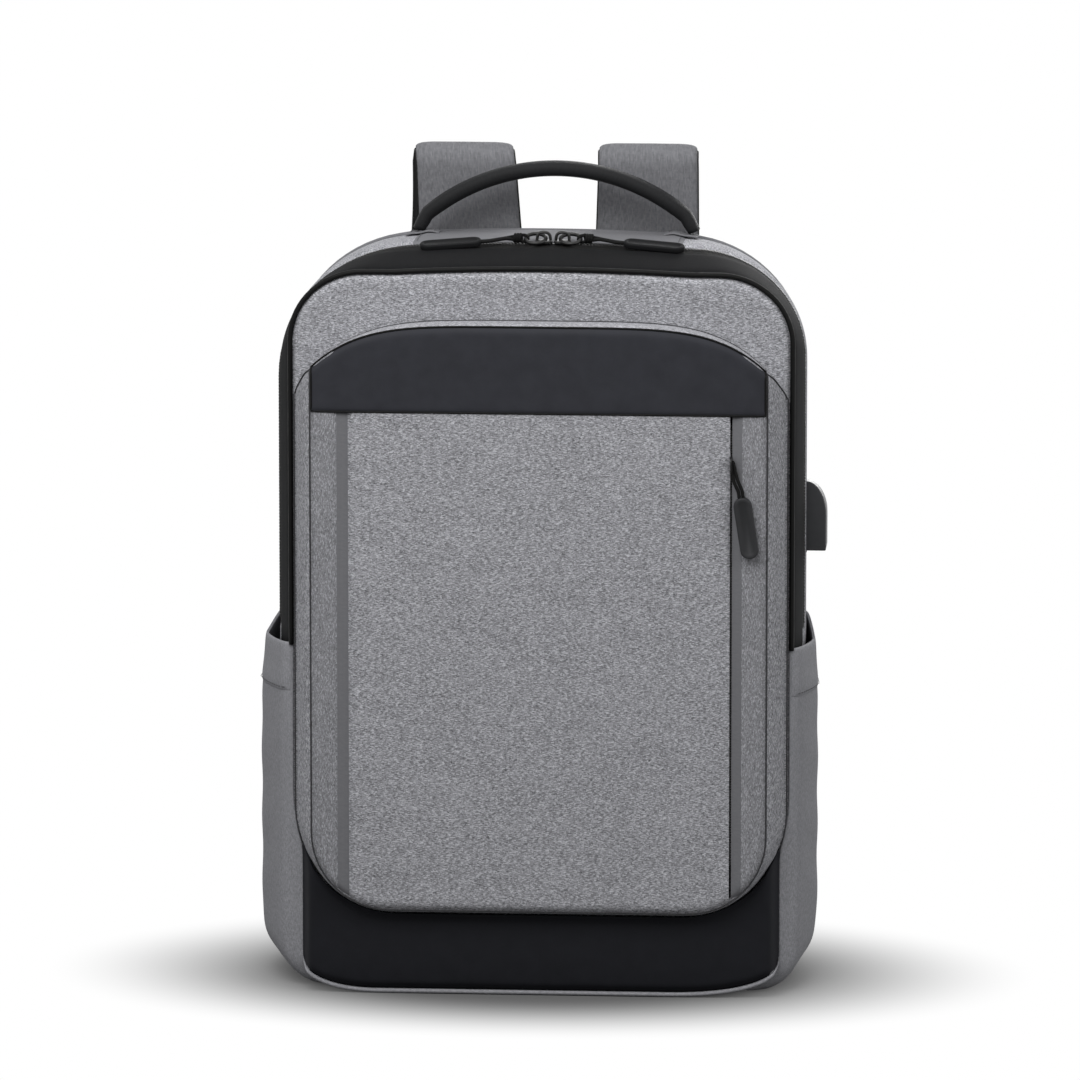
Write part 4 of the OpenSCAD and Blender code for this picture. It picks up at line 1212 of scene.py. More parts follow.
upper_trim = pocket_sheet(
    "upper_trim_cloth", -TRIM_HALF, TRIM_HALF, lambda x: np.full_like(x, TRIM_Z),
    lambda x: arch_z(RIM, x), trim_depth, "x", 56, 18,
)
thicken(dress(upper_trim, "coated_cloth"), TRIM_T)
sew(upper_trim, "front_half", "upper_trim")
xs = TRIM_HALF * np.cos(np.linspace(0, math.pi, 81))
trim_edge = list(zip(xs, arch_z(RIM, xs)))
trim_edge += straight((-TRIM_HALF, trim_edge[-1][1] - 1), (-TRIM_HALF, TRIM_Z), 8)
trim_edge += straight((-TRIM_HALF, TRIM_Z), (TRIM_HALF, TRIM_Z), 50)
trim_edge += straight((TRIM_HALF, TRIM_Z), (TRIM_HALF, trim_edge[0][1] - 1), 8)
edge_x, edge_z = np.array(trim_edge).T
edge_path = row_of(edge_x, trim_depth(edge_x, edge_z), edge_z)
trim_binding = tube("upper_trim_edge", edge_path, TRIM_EDGE_R, 8, closed=True, up=(0, 1, 0))
sew(dress(trim_binding, "piping"), "front_half")
print("Upper trim", round(2 * TRIM_HALF), "mm wide")

# %% Pocket zip in its slot
slot_low, slot_high = box_mm("pocket_zip_tape")
slot_x = np.linspace(slot_low[0], slot_high[0], 9)
slot_rows = [row_of(slot_x, slot_low[1], z) for z in np.linspace(slot_low[2], slot_high[2], 40)]
pocket_tape = dress(loft("pocket_zip_tape_cloth", slot_rows, "rows", toward=(0, -1, 0)), "zip_tape")
thicken(pocket_tape, TAPE_T, soft=False)
sew(pocket_tape, "front_half", "pocket_zip_tape")
SLOT_X = (slot_low[0] + slot_high[0]) / 2
POCKET_TOOTH_PITCH = 1.5
coil_path = row_of(SLOT_X, slot_low[1] + 0.1, np.linspace(slot_low[2] + 2, slot_high[2] - 2, 60))
place, direction, _, _ = along_path(coil_path, POCKET_TOOTH_PITCH)
pocket_teeth = repeat("pocket_zip_teeth", tooth_shape(1.0, 3.6, 1.4), place, direction, (0, -1, 0))
sew(dress(pocket_teeth, "zip_tape", FINISH["zip_teeth"]), "front_half")
print(len(place), "teeth in the pocket's slot")

# %% [markdown]
# ## Lower trim
# Under the pocket the front is covered with dark coated cloth. It fills the space below the pocket's
# round corners, rolls back at the sides and under the bag, and ends in a thin pale welt.

# %% Lower trim
trim_low, trim_high = box_mm("lower_trim")
LOW_TRIM_HALF = trim_high[0]
LOW_TRIM_Z = 2.6
LOW_TRIM_RUN = (45, 65)
LOW_TRIM_RISE = 19.5
LOW_TRIM_POWER = 2.2
LOW_TRIM_T = 1.6
LOW_TRIM_FACE = trim_low[1]
WELT_R = 1.35
WELT_REACH = LOW_TRIM_HALF + 0.5
UNDER_Y = FRONT_Y + 2
UNDER_T = 1.4


def trim_bottom(x):
    """The lower edge, which rises in a long curve at both corners."""
    run = np.where(x < 0, *LOW_TRIM_RUN)
    reach = np.clip(1 - (LOW_TRIM_HALF - np.abs(x)) / run, 0, 1)
    return LOW_TRIM_Z + LOW_TRIM_RISE * (1 - (1 - reach**LOW_TRIM_POWER) ** (1 / LOW_TRIM_POWER))


def trim_top(x):
    return hollow_z(ROOT, x) - 0.3


def low_trim_depth(x, z):
    to_side = LOW_TRIM_HALF - np.abs(x)
    to_low = z - trim_bottom(x)
    side_roll = 12.0 * near(to_side, 4) ** 1.5
    low_roll = 3.5 * near(to_low, 2.2)
    belly = 1.6 * near(z - 14, 22)
    tuck = 1.2 * near(trim_top(x) - z, 3)
    return np.minimum(LOW_TRIM_FACE - belly + np.maximum(side_roll, low_roll) + tuck, trim_high[1] - 0.6)


lower_trim = pocket_sheet(
    "lower_trim_cloth", -LOW_TRIM_HALF, LOW_TRIM_HALF, trim_bottom, trim_top, low_trim_depth, "x", 60, 22
)
thicken(dress(lower_trim, "coated_cloth", FINISH["base_cloth"]), LOW_TRIM_T)
sew(lower_trim, "front_half", "lower_trim")

under_x = spread(-LOW_TRIM_HALF, LOW_TRIM_HALF, 90)
under_z = trim_bottom(under_x)
under_front = low_trim_depth(under_x, under_z)
under_rows = [
    row_of(under_x, under_front + (UNDER_Y - under_front) * t, under_z + 0.3) for t in np.linspace(0, 1, 7)
]
trim_under = loft("lower_trim_underside", under_rows, "x", toward=(0, 0, -1))
thicken(dress(trim_under, "melange_cloth", FINISH["side_cloth"]), UNDER_T, soft=False)
sew(trim_under, "front_half")

welt_x = spread(-WELT_REACH, WELT_REACH, 110)
welt_z = trim_bottom(welt_x)
welt_path = row_of(welt_x, low_trim_depth(welt_x, welt_z) - 0.6, welt_z - 1.2)
welt_r = WELT_R * (1 - 0.75 * near(WELT_REACH - np.abs(welt_x), 4))
welt = dress(tube("lower_trim_welt", welt_path, welt_r, 10), "melange_cloth", FINISH["side_cloth"])
sew(welt, "front_half")
print("Lower trim", round(2 * LOW_TRIM_HALF), "mm wide")

# %% [markdown]
# ## Side pockets
# Each side pocket is one sheet that bellies out from the gusset, with a deep hem at its mouth. The
# mouth rises towards the back. The left one is fuller than the right one. Like the lower gusset behind
# them, they are fixed pieces, attached to neither half of the bag.

# %% Side pockets
side_high = box_mm("side_pocket_right")[1]
SIDE_Y0 = FRONT_Y + 1.5
SIDE_Y1 = side_high[1] + 1
SIDE_BULGE = {-1: 9.0, 1: 6.0}
SIDE_BELLY_Z = {-1: 36, 1: 44}
SIDE_T = 1.6
HEM_H = 30
HEM_T = 1.2
HEM_PROUD = 0.9
SIDE_FOOT_Z = 0.6
SIDE_FOOT_R = {-1: 27, 1: 29}
SIDE_FOOT_FRONT_R = 20
SIDE_FOOT_SHARE = 0.25
SIDE_LEAD = 2.3
LAP_TOP = 112
LAP_RUN = 34
MOUTH_Z = 205.5
MOUTH_DIP = 4.5
MOUTH_RISE = 3


def side_share(y):
    return (y - SIDE_Y0) / (SIDE_Y1 - SIDE_Y0)


def mouth_z(y):
    """Height of the mouth, which sags in the middle and rises towards the back."""
    t = side_share(y)
    return MOUTH_Z - MOUTH_DIP * np.sin(np.clip(t, 0, 1) * math.pi) ** 1.2 + MOUTH_RISE * t


def side_lead(z):
    """1 low down, where the pocket's front edge laps round onto the front, and 0 higher up."""
    return ease(np.clip((LAP_TOP - np.asarray(z, float)) / LAP_RUN, 0, 1))


def side_face(side, y, z, off=0.0):
    """Outer face of a side pocket at a depth and height."""
    across = np.sin(np.clip(side_share(y), 0, 1) * math.pi)
    to_mouth = mouth_z(y) - z
    belly = across**0.42 * np.sin(np.clip(z / SIDE_BELLY_Z[side], 0, 1) * math.pi / 2)
    belly = belly * (1 - 0.35 * near(to_mouth, 25))
    gather = 0.35 * np.sin(z * 0.16 + y * 0.05) * across * np.clip(to_mouth / 40, 0, 1)
    foot_r = SIDE_FOOT_R[side] + (SIDE_FOOT_FRONT_R - SIDE_FOOT_R[side]) * near(y - SIDE_Y0, 26)
    corner = round_off(SIDE_FOOT_Z + foot_r - z, foot_r)
    lead = side_lead(z)
    tuck = (2.4 + 4.8 * lead) * near(y - SIDE_Y0 + SIDE_LEAD * lead, 2) + 1.4 * near(SIDE_Y1 - y, 2.5)
    tuck = tuck + 4 * near(y - SIDE_Y0 + SIDE_LEAD, 5) * near(z - SIDE_FOOT_Z, 9)
    return sway(y) + side * (half_width(y) - corner + 2.0 + SIDE_BULGE[side] * belly + gather + off - tuck)


def side_rows(side, low_share, high_share, steps, off=0.0):
    """Rows from the bottom to the mouth, or part of the way."""
    ys = spread(SIDE_Y0, SIDE_Y1, 26)
    rows = []
    for t in np.linspace(low_share, high_share, steps):
        swing = np.clip(t / SIDE_FOOT_SHARE, 0, 1) * math.pi / 2
        low = SIDE_FOOT_Z + SIDE_FOOT_R[side] * (1 - np.cos(swing))
        above = max(0.0, (t - SIDE_FOOT_SHARE) / (1 - SIDE_FOOT_SHARE))
        zs = low + (mouth_z(ys) - SIDE_FOOT_Z - SIDE_FOOT_R[side]) * above
        front = ys - SIDE_LEAD * side_lead(zs) * near(ys - SIDE_Y0, 5)
        rows.append(row_of(side_face(side, front, zs, off), front, zs))
    return rows


for side, label in SIDES:
    pocket = loft(f"side_pocket_{label}_cloth", side_rows(side, 0.03, 1.0, 36), "rows", away=(0, None, None))
    thicken(dress(pocket, "melange_cloth", FINISH["side_cloth"]), SIDE_T, lined=True)
    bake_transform(pocket)
    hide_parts(f"side_pocket_{label}")
    wall_height = mouth_z(SIDE_Y0) - SIDE_FOOT_Z - SIDE_FOOT_R[side]
    hem_share = 1 - (1 - SIDE_FOOT_SHARE) * HEM_H / wall_height
    hem_rows = side_rows(side, hem_share, 1.0, 8, off=HEM_PROUD)
    for k, row in enumerate(hem_rows):
        row[:, 0] -= side * (0.7 * near(k, 0.6) + 0.5 * near(7 - k, 0.7))
    hem = loft(f"side_pocket_hem_{label}_cloth", hem_rows, "rows", away=(0, None, None))
    thicken(dress(hem, "melange_cloth", FINISH["side_cloth"]), HEM_T)
    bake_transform(hem)
    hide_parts(f"side_pocket_hem_{label}")
    seam = side_rows(side, hem_share + 0.012, hem_share + 0.012, 1, off=HEM_PROUD - 0.05)[0]
    stitches = stitch_row(f"side_pocket_stitches_{label}", seam, (side, 0, 0), "grey", margin=3)
    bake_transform(stitches)
print("Side pockets", round(mouth_z(SIDE_Y0)), "to", round(mouth_z(SIDE_Y1)), "mm high")

# %% [markdown]
# ## Base and back panel
# The base is a stiff black slab with softened edges and a piped rim. The back panel is padded like
# the front one and faces the wearer, with grey binding in its seam.

# %% Blocks with soft edges
def block(name, low, high):
    """A cube that is drawn out to its size and place."""
    bpy.ops.object.select_all(action="DESELECT")
    size = np.array(high) - np.array(low)
    bpy.ops.mesh.primitive_cube_add(size=1, location=tuple((np.array(low) + size / 2) * MM))
    obj = bpy.context.object
    obj.name = name
    obj.scale = tuple(size * MM)
    bpy.ops.object.transform_apply(location=True, rotation=True, scale=True)
    return obj


def soft_box(name, low, high, bevel, segments=3):
    """A block with all its edges bevelled."""
    obj = block(name, low, high)
    bpy.ops.object.mode_set(mode="EDIT")
    bpy.ops.mesh.select_all(action="SELECT")
    bpy.ops.mesh.bevel(offset=bevel * MM, segments=segments, affect="EDGES", profile=0.5)
    bpy.ops.object.mode_set(mode="OBJECT")
    bpy.ops.object.shade_smooth_by_angle(angle=math.radians(40))
    return obj


# %% Base and back
BASE_EDGE = 2.0
BASE_RIM_R = 14
base_low, base_high = box_mm("bottom_panel")
base = soft_box("bottom_panel_slab", base_low, base_high, BASE_EDGE)
sew(dress(base, "black_cloth", FINISH["base_cloth"]), "bag", "bottom_panel")
inner_x, inner_y = base_high[:2] - BASE_EDGE - BASE_RIM_R
rim = []
for turn, (x, y) in enumerate(((1, 1), (-1, 1), (-1, -1), (1, -1))):
    rim += bend(x * inner_x, y * inner_y, BASE_RIM_R, 90 * turn, 90 * (turn + 1), 8)
rim_x, rim_y = np.array(rim).T
base_piping = tube("base_piping", row_of(rim_x, rim_y, base_high[2] - 0.6), 1.6, 10, closed=True)
sew(dress(base_piping, "piping"), "bag")

back_panel = padded_panel("back_panel_cloth", BACK_Y, 1, "black_cloth")
sew(back_panel, "bag", "back_panel")
back_path = ring_outline(BACK_Y)
back_path = at_depth(back_path + outward(back_path, closed=True) * 0.7, BACK_Y - PANEL_T / 2)
back_binding = tube("back_binding", back_path, PIPING_R, closed=True, up=(0, 1, 0))
sew(dress(back_binding, "yoke_cloth"), "bag")
print("Base", [round(v) for v in base_high - base_low], "mm")

# %% [markdown]
# ## Back pads
# The pads that lie on the wearer's back are foam under knitted mesh. Each starts as a rounded slab,
# is remeshed into an even skin and blown up a little by the cloth solver with its back face held.
# The sewn channels are pressed in afterwards.

# %% Back pads
PAD_VOXEL = 5 * MM
PAD_CAP = 5 * MM
PAD_FRAMES = 20
PAD_PUFF = 3.5
PAD_HOLD = 2.5 * MM
PAD_PRESSURE = 4
PAD_CHANNELS = {"back_pad_left": 4, "back_pad_right": 4, "lumbar_pad": 0}
LUMBAR_CHANNELS = (-0.033, 0.033)
PAD_SEAM = 9
SEAM_PRESS = 3.0
CHANNEL_PRESS = 4.0
CHANNEL_REACH = 3.5


def pad_slab(node):
    """A slab with room left for what the pressure adds to it."""
    low, high = box_mm(node)
    thin = np.array((1.0, 0.0, 1.0))
    slab = soft_box(node + "_mesh", low + thin, high - thin - (0, PAD_PUFF, 0), 2.4)
    select_only(slab)
    slab.data.remesh_voxel_size = PAD_VOXEL
    bpy.ops.object.voxel_remesh()
    return slab


def puff(slab, y):
    """Cloth under pressure, with the face that is sewn to the back panel held."""
    group = slab.vertex_groups.new(name="sewn")
    group.add([v.index for v in slab.data.vertices if v.co.y < y + PAD_HOLD], 1.0, "REPLACE")
    cloth = slab.modifiers.new("Puff", "CLOTH")
    cloth.settings.use_pressure = True
    cloth.settings.uniform_pressure_force = PAD_PRESSURE
    cloth.settings.quality = 5
    cloth.settings.vertex_group_mass = "sewn"
    cloth.settings.effector_weights.gravity = 0


def places(obj):
    return np.array([v.co for v in obj.data.vertices])


def put_places(obj, co):
    obj.data.vertices.foreach_set("co", co.ravel())
    obj.data.update()


pads = {node: pad_slab(node) for node in PAD_CHANNELS}
before = {node: places(pad) for node, pad in pads.items()}
for node, pad in pads.items():
    puff(pad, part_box(node)[0].y)
for step in range(1, PAD_FRAMES + 1):
    bpy.context.scene.frame_set(step)
for node, pad in pads.items():
    apply_modifiers(pad)
    moved = places(pad) - before[node]
    size = np.linalg.norm(moved, axis=1)
    moved *= np.minimum(1, PAD_CAP / np.maximum(size, 1e-9))[:, None]
    put_places(pad, before[node] + moved)
bpy.context.scene.frame_set(1)

# %% Pad channels
for node, pad in pads.items():
    low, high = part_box(node)
    soften(pad)
    apply_modifiers(pad)
    co = places(pad)
    x, y, z = co.T
    edge = np.minimum.reduce([x - low.x, high.x - x, z - low.z, high.z - z]) / MM
    count = PAD_CHANNELS[node]
    offsets = [z - (low.z + (high.z - low.z) * (k + 1) / (count + 1)) for k in range(count)]
    if node == "lumbar_pad":
        offsets = [x - channel for channel in LUMBAR_CHANNELS]
    press = SEAM_PRESS * near(edge - PAD_SEAM, ROLL_REACH)
    for offset in offsets:
        press = np.maximum(press, CHANNEL_PRESS * near(offset / MM, CHANNEL_REACH) * (edge > PAD_SEAM))
    co[:, 1] = y - press * MM * np.clip((y - low.y) / (high.y - low.y), 0, 1)
    put_places(pad, co)
    smooth_faces(pad.data)
    sew(dress(pad, "air_mesh", FINISH["pad_mesh"]), "bag", node)
print("Pads:", {node: len(pad.data.polygons) for node, pad in pads.items()})

# %% [markdown]
# ## Shoulder straps
# A strap is sewn in at the top of the back, stands up behind the bag, folds over and hangs down the
# back, where it sweeps outwards. It is lofted as one padded length, from the bag through its fold to
# the hanging strap. Black mesh lines it, and black tape binds its edges.

# %% Strap centreline
riser_low, riser_high = box_mm("strap_riser_right")
hang_low, hang_high = box_mm("shoulder_strap_right")
STRAP_T = riser_high[1] - riser_low[1]
STRAP_W = 58
RISER_FLARE = 2.5
STRAP_END_W = 48
STRAP_SWEEP = {-1: 92, 1: 45}
RISER_TOP = {-1: 2.4, 1: 0.0}
RISER_FOOT = {-1: 6.0, 1: -0.8}
HANG_SHIFT = {-1: -0.9, 1: -1.0}
STRAP_X = 55
joint_places = {j["name"]: np.array(j["pos_m"]) / MM for j in frame["joints"] if "pos_m" in j}
FOLD_Y, FOLD_Z = joint_places["strap_right_swing"][1:]
STRAP_END_Z = hang_low[2]
RISER_Y = (riser_low[1] + riser_high[1]) / 2
FOLD_MID_R = FOLD_Y - RISER_Y
RISER_STEPS, FOLD_STEPS, HANG_STEPS = 12, 14, 46
ACROSS = np.array((1, 0, 0))


def strap_line(side):
    """Middle points of a strap, its half widths, and the direction that its outer face looks in."""
    middles, halves, faces = [], [], []
    for z in np.linspace(riser_low[2], FOLD_Z, RISER_STEPS, endpoint=False):
        t = np.clip((FOLD_Z - z) / (FOLD_Z - riser_low[2]), 0, 1)
        shift = RISER_TOP[side] + (RISER_FOOT[side] - RISER_TOP[side]) * t
        middles.append((side * STRAP_X + shift, RISER_Y, z))
        halves.append((STRAP_W + RISER_FLARE * t) / 2)
        faces.append((0, -1, 0))
    for a in np.radians(np.linspace(180, 0, FOLD_STEPS, endpoint=False)):
        x = side * STRAP_X + HANG_SHIFT[side] + (RISER_TOP[side] - HANG_SHIFT[side]) * a / math.pi
        middles.append((x, FOLD_Y + FOLD_MID_R * math.cos(a), FOLD_Z + FOLD_MID_R * math.sin(a)))
        halves.append(STRAP_W / 2)
        faces.append((0, math.cos(a), math.sin(a)))
    for s in np.linspace(0, 1, HANG_STEPS):
        swept = ease(s**1.25)
        x = side * (STRAP_X + STRAP_SWEEP[side] * swept) + HANG_SHIFT[side] * (1 - swept)
        middles.append((x, FOLD_Y + FOLD_MID_R, FOLD_Z + (STRAP_END_Z - FOLD_Z) * s))
        halves.append((STRAP_W + (STRAP_END_W - STRAP_W) * s) / 2)
        faces.append((0, 1, 0))
    return np.array(middles), np.array(halves), np.array(faces)


def full_section(half_a, half_b, power_a, power_b, count):
    """Points round a section that is fuller than an oval: how far they lie along its two axes."""
    a = np.linspace(0, 2 * math.pi, count, endpoint=False)[:, None]
    along_a = half_a * np.sign(np.cos(a)) * np.abs(np.cos(a)) ** power_a
    along_b = half_b * np.sign(np.sin(a)) * np.abs(np.sin(a)) ** power_b
    return along_a, along_b


# %% Straps
STRAP_SIDES = 28
LINING_INSET = 3
LINING_T = 0.6
BINDING_R = 1.2
SEAM_INSET = 5
for side, label in SIDES:
    swing = "strap_" + label
    turn = {
        "start": (side * STRAP_X * MM, riser_high[1] * MM, FOLD_Z * MM),
        "end": (side * STRAP_X * MM, hang_high[1] * MM - STRAP_T * MM, FOLD_Z * MM),
    }
    middles, halves, faces = strap_line(side)
    rows = []
    for mid, half, face in zip(middles, halves, faces):
        wide, deep = full_section(half, STRAP_T / 2, 0.3, 0.7, STRAP_SIDES)
        rows.append(mid + wide * ACROSS + deep * face)
    strap = loft(f"shoulder_strap_{label}_padding", rows, "rows", closed=True, toward=(1, 0, 0))
    close_ends(strap)
    dress(strap, "strap_cloth").data.materials.append(FINISH["air_mesh"])
    for face in strap.data.polygons[: (len(rows) - 1) * STRAP_SIDES]:
        face.material_index = 1 if face.index % STRAP_SIDES >= STRAP_SIDES // 2 else 0
    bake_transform(strap)
    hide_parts(f"strap_riser_{label}", f"shoulder_strap_{label}")

    lining_rows = []
    for mid, half, face in zip(middles[2:-1], halves[2:-1], faces[2:-1]):
        reach = half - LINING_INSET
        xs = np.linspace(-1, 1, 11) * reach
        dip = STRAP_T / 2 + 0.2 + 1.5 * (1 - near(reach - np.abs(xs), 3))
        lining_rows.append(mid + xs[:, None] * ACROSS - dip[:, None] * face)
    lining = loft(f"strap_mesh_{label}_lining", lining_rows, "rows", toward=(0, 1, 0))
    lining = thicken(lining, LINING_T, soft=False)
    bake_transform(dress(lining, "air_mesh"))
    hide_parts(f"strap_mesh_{label}")

    for edge, edge_label in SIDES:
        edge_path = middles + edge * (halves - 0.4)[:, None] * ACROSS - faces * 1.0
        tape = tube(f"strap_binding_{label}_{edge_label}", edge_path, BINDING_R, 10, up=(1, 0, 0))
        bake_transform(dress(tape, "webbing"))
        seam = middles + edge * (halves - SEAM_INSET)[:, None] * ACROSS + faces * (STRAP_T / 2 - 0.1)
        hanging = seam[RISER_STEPS + FOLD_STEPS + 1:]
        stitches = stitch_row(f"strap_stitches_{label}_{edge_label}", hanging, (0, 1, 0), "grey", margin=6)
        sew(stitches, swing)
print("Straps hang to", round(STRAP_END_Z), "mm")

# %% [markdown]
# ## Lower webbing and buckles
# Each strap ends in a ladder lock. Flat webbing comes up from a sewn patch at the bag's lower corner
# and passes behind the buckle's bars.

# %% Strips, soft curves and joined pieces
def flat_strip(name, path, width):
    xs = np.linspace(-0.5, 0.5, 7) * width
    rows = [p + xs[:, None] * ACROSS for p in path]
    return loft(name, rows, "rows", toward=(0, 1, 0))


def smooth_path(points, count):
    """A soft curve through a few points, with its ends kept."""
    points = np.asarray(points, float)
    length = path_length(points)
    path = read_along(points, length, np.linspace(0, length[-1], count))
    for _ in range(6):
        path[1:-1] = (path[:-2] + 2 * path[1:-1] + path[2:]) / 4
    return path


def join(name, pieces):
    bpy.ops.object.select_all(action="DESELECT")
    for piece in pieces:
        piece.select_set(True)
    bpy.context.view_layer.objects.active = pieces[0]
    bpy.ops.object.join()
    obj = bpy.context.object
    obj.name = name
    obj.data.name = name
    return obj


def stitched_box(low, high, inset):
    """The corners of a box of stitches inside a patch, with the first one again at the end."""
    x0, y0 = low + inset
    x1, y1 = high - inset
    return np.array([(x0, y0), (x1, y0), (x1, y1), (x0, y1), (x0, y0)])


# %% Webbing and buckles
WEB_W = 25
WEB_T = 1.5
PATCH_T = 1.8
PATCH_STITCH_INSET = 4
RAIL_W = 4.2
BAR_SHARES = (0.0, 0.43, 0.83)
BAR_RISE = 0.17


def ladder_lock(name, low, high):
    """A buckle of two rails and three bars."""
    pieces = [
        soft_box("rail", low, (low[0] + RAIL_W, *high[1:]), 1.2),
        soft_box("rail", (high[0] - RAIL_W, *low[1:]), high, 1.2),
    ]
    height = high[2] - low[2]
    for share in BAR_SHARES:
        z = low[2] + height * share
        bar_low = (low[0] + 1, low[1] + 0.4, z)
        bar_high = (high[0] - 1, high[1] - 0.4, z + height * BAR_RISE)
        pieces.append(soft_box("bar", bar_low, bar_high, 1.1))
    return join(name, pieces)


for _, label in SIDES:
    web_low, web_high = box_mm("strap_webbing_" + label)
    lock_low, lock_high = box_mm("ladder_lock_" + label)
    patch_low, patch_high = (corner + (SWAY[2], 0, 0) for corner in box_mm("webbing_anchor_" + label))
    patch_x = (patch_low[0] + patch_high[0]) / 2
    lock_x = (lock_low[0] + lock_high[0]) / 2
    low_y = patch_high[1] + 0.3
    high_y = lock_low[1] - 1.9
    route = [
        (patch_x, low_y, web_low[2]), (patch_x, low_y, patch_high[2] - 2),
        ((patch_x + lock_x) / 2, (low_y + high_y) / 2, (patch_high[2] + lock_low[2]) / 2),
        (lock_x, high_y, lock_low[2] + 2), (lock_x, high_y, web_high[2]),
    ]
    strip = flat_strip(f"strap_webbing_{label}_strip", smooth_path(route, 40) + (0, WEB_T, 0), WEB_W)
    thicken(strip, WEB_T, soft=False)
    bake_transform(dress(strip, "webbing"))
    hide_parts("strap_webbing_" + label)

    patch_path = row_of(patch_x, patch_high[1], np.linspace(patch_low[2], patch_high[2], 12))
    patch = flat_strip(f"webbing_anchor_{label}_patch", patch_path, patch_high[0] - patch_low[0])
    sew(thicken(dress(patch, "webbing"), PATCH_T), "bag", "webbing_anchor_" + label)
    corners = stitched_box(patch_low[[0, 2]], patch_high[[0, 2]], PATCH_STITCH_INSET)
    stitches = at_depth(corners, low_y + WEB_T)
    sew(stitch_row("webbing_anchor_stitches_" + label, stitches, (0, 1, 0), "black"), "bag")

    lock = ladder_lock(f"ladder_lock_{label}_moulding", lock_low, lock_high)
    sew(dress(lock, "buckle_plastic"), "strap_" + label, "ladder_lock_" + label)
print("Webbing", WEB_W, "mm wide")

# %% [markdown]
# ## Carry handle
# The handle is a padded tube. Its ends are pressed flat and turn down into two sewn tabs on the yoke.
# It is lofted along its arch, with a section that narrows towards the ends.

# %% Handle
handle_high = box_mm("carry_handle")[1]
HANDLE_T = 9
HANDLE_W = 14
HANDLE_HALF = 76
HANDLE_SHIFT = 2.5
HANDLE_AXIS = joint_places["handle_swing"]
HANDLE_RISE = handle_high[2] - HANDLE_T / 2 - HANDLE_AXIS[2]
HANDLE_R = (HANDLE_HALF**2 + HANDLE_RISE**2) / (2 * HANDLE_RISE)
handle_spread = math.asin(HANDLE_HALF / HANDLE_R)
HANDLE_DROP = HANDLE_AXIS[2] - box_mm("handle_tab_left")[1][2] + REAR_DROP
END_REACH = 5.0
END_TURN = 0.5
DEPTH_AXIS = np.array((0, 1, 0))


def handle_ring(x, z, angle, half_t, half_w):
    """One section of the handle, turned along its arch."""
    deep, tall = full_section(half_w, half_t, 0.8, 0.8, 24)
    up = np.array((math.sin(angle), 0, math.cos(angle)))
    return np.array((x + HANDLE_SHIFT, HANDLE_AXIS[1], z)) + deep * DEPTH_AXIS + tall * up


def handle_end(side, share):
    """A section between the arch and the tab, where the handle turns down and gets flatter."""
    return handle_ring(
        side * (HANDLE_HALF + END_REACH * share), HANDLE_AXIS[2] - HANDLE_DROP * share,
        side * (handle_spread + END_TURN * share),
        HANDLE_T / 2 * (1 - 0.2 * share), HANDLE_W / 2 * (1 - 0.05 * share),
    )


END_SHARES = (0.4, 0.75, 1.0)
handle_rows = [handle_end(-1, share) for share in END_SHARES[::-1]]
for a in np.linspace(-1, 1, 61):
    angle = a * handle_spread
    drop = HANDLE_R * (1 - math.cos(angle))
    end = near(1 - abs(a), 0.09)
    handle_rows.append(handle_ring(
        HANDLE_R * math.sin(angle), HANDLE_AXIS[2] + HANDLE_RISE - drop, angle,
        HANDLE_T / 2 * (1 - 0.04 * end), HANDLE_W / 2 * (1 - 0.1 * end),
    ))
handle_rows += [handle_end(1, share) for share in END_SHARES]
handle = loft("carry_handle_cover", handle_rows, "rows", closed=True, toward=(0, 0, 1))
close_ends(handle)
sew(dress(handle, "handle_cover"), "handle", "carry_handle")
print("Handle rises", round(HANDLE_RISE, 1), "mm")

# %% Handle tabs
TAB_REACH = 78
TAB_T = 1.0
TAB_STITCH_INSET = 3


def under_tab(x, y):
    """Height of the yoke under a tab, also where the tab laps over the yoke's edge."""
    return yoke_height(np.clip(x, -TAB_REACH, TAB_REACH), y)


for _, label in SIDES:
    tab_low, tab_high = box_mm("handle_tab_" + label)
    tab_rows = []
    for y in spread(tab_low[1], tab_high[1], 10):
        xs = spread(tab_low[0], tab_high[0], 10)
        lift = 0.7 + 0.9 * (1 - near(np.minimum(xs - tab_low[0], tab_high[0] - xs), 2))
        tab_rows.append(row_of(xs, y, under_tab(xs, y) + lift))
    tab = loft(f"handle_tab_{label}_patch", tab_rows, "y", toward=(0, 0, 1))
    sew(thicken(dress(tab, "webbing", FINISH["yoke_cloth"]), TAB_T), "bag", "handle_tab_" + label)
    corners = stitched_box(tab_low[:2], tab_high[:2], TAB_STITCH_INSET)
    path = np.column_stack((corners, under_tab(*corners.T) + 1.6))
    sew(stitch_row("handle_tab_stitches_" + label, path, (0, 0, 1), "grey", 0.28), "bag")
print("Tabs", round(tab_high[0] - tab_low[0]), "mm wide")

# %% [markdown]
# ## Charging port
# The port's housing is a moulded block with a quarter-round top. It starts as a cube: the upper outer
# edge of a shortened cube gets a wide bevel of many steps, the cube is drawn up to its height, which
# makes the curve a longer one, and the other outer edges get a small bevel. A thin flange seats it
# on the cloth. The socket opens downwards, and the frame's metal shell and tongue stay in it.

# %% Port housing
usb_low, usb_high = box_mm("usb_port_housing")
usb_low, usb_high = usb_low - (3.0, 0, 0), usb_high - (1.2, 0, 0)
shell_low, shell_high = box_mm("usb_socket_shell")
USB_DEPTH = usb_high[0] - usb_low[0]
USB_HEIGHT = usb_high[2] - usb_low[2]
USB_STRETCH = 1.75
USB_FALL = 0.15
USB_ROUND = 0.94
USB_SHORT_TOP = usb_low[2] + USB_HEIGHT / USB_STRETCH
SOCKET_PLAY = np.array((0.15, 0.15, 0))


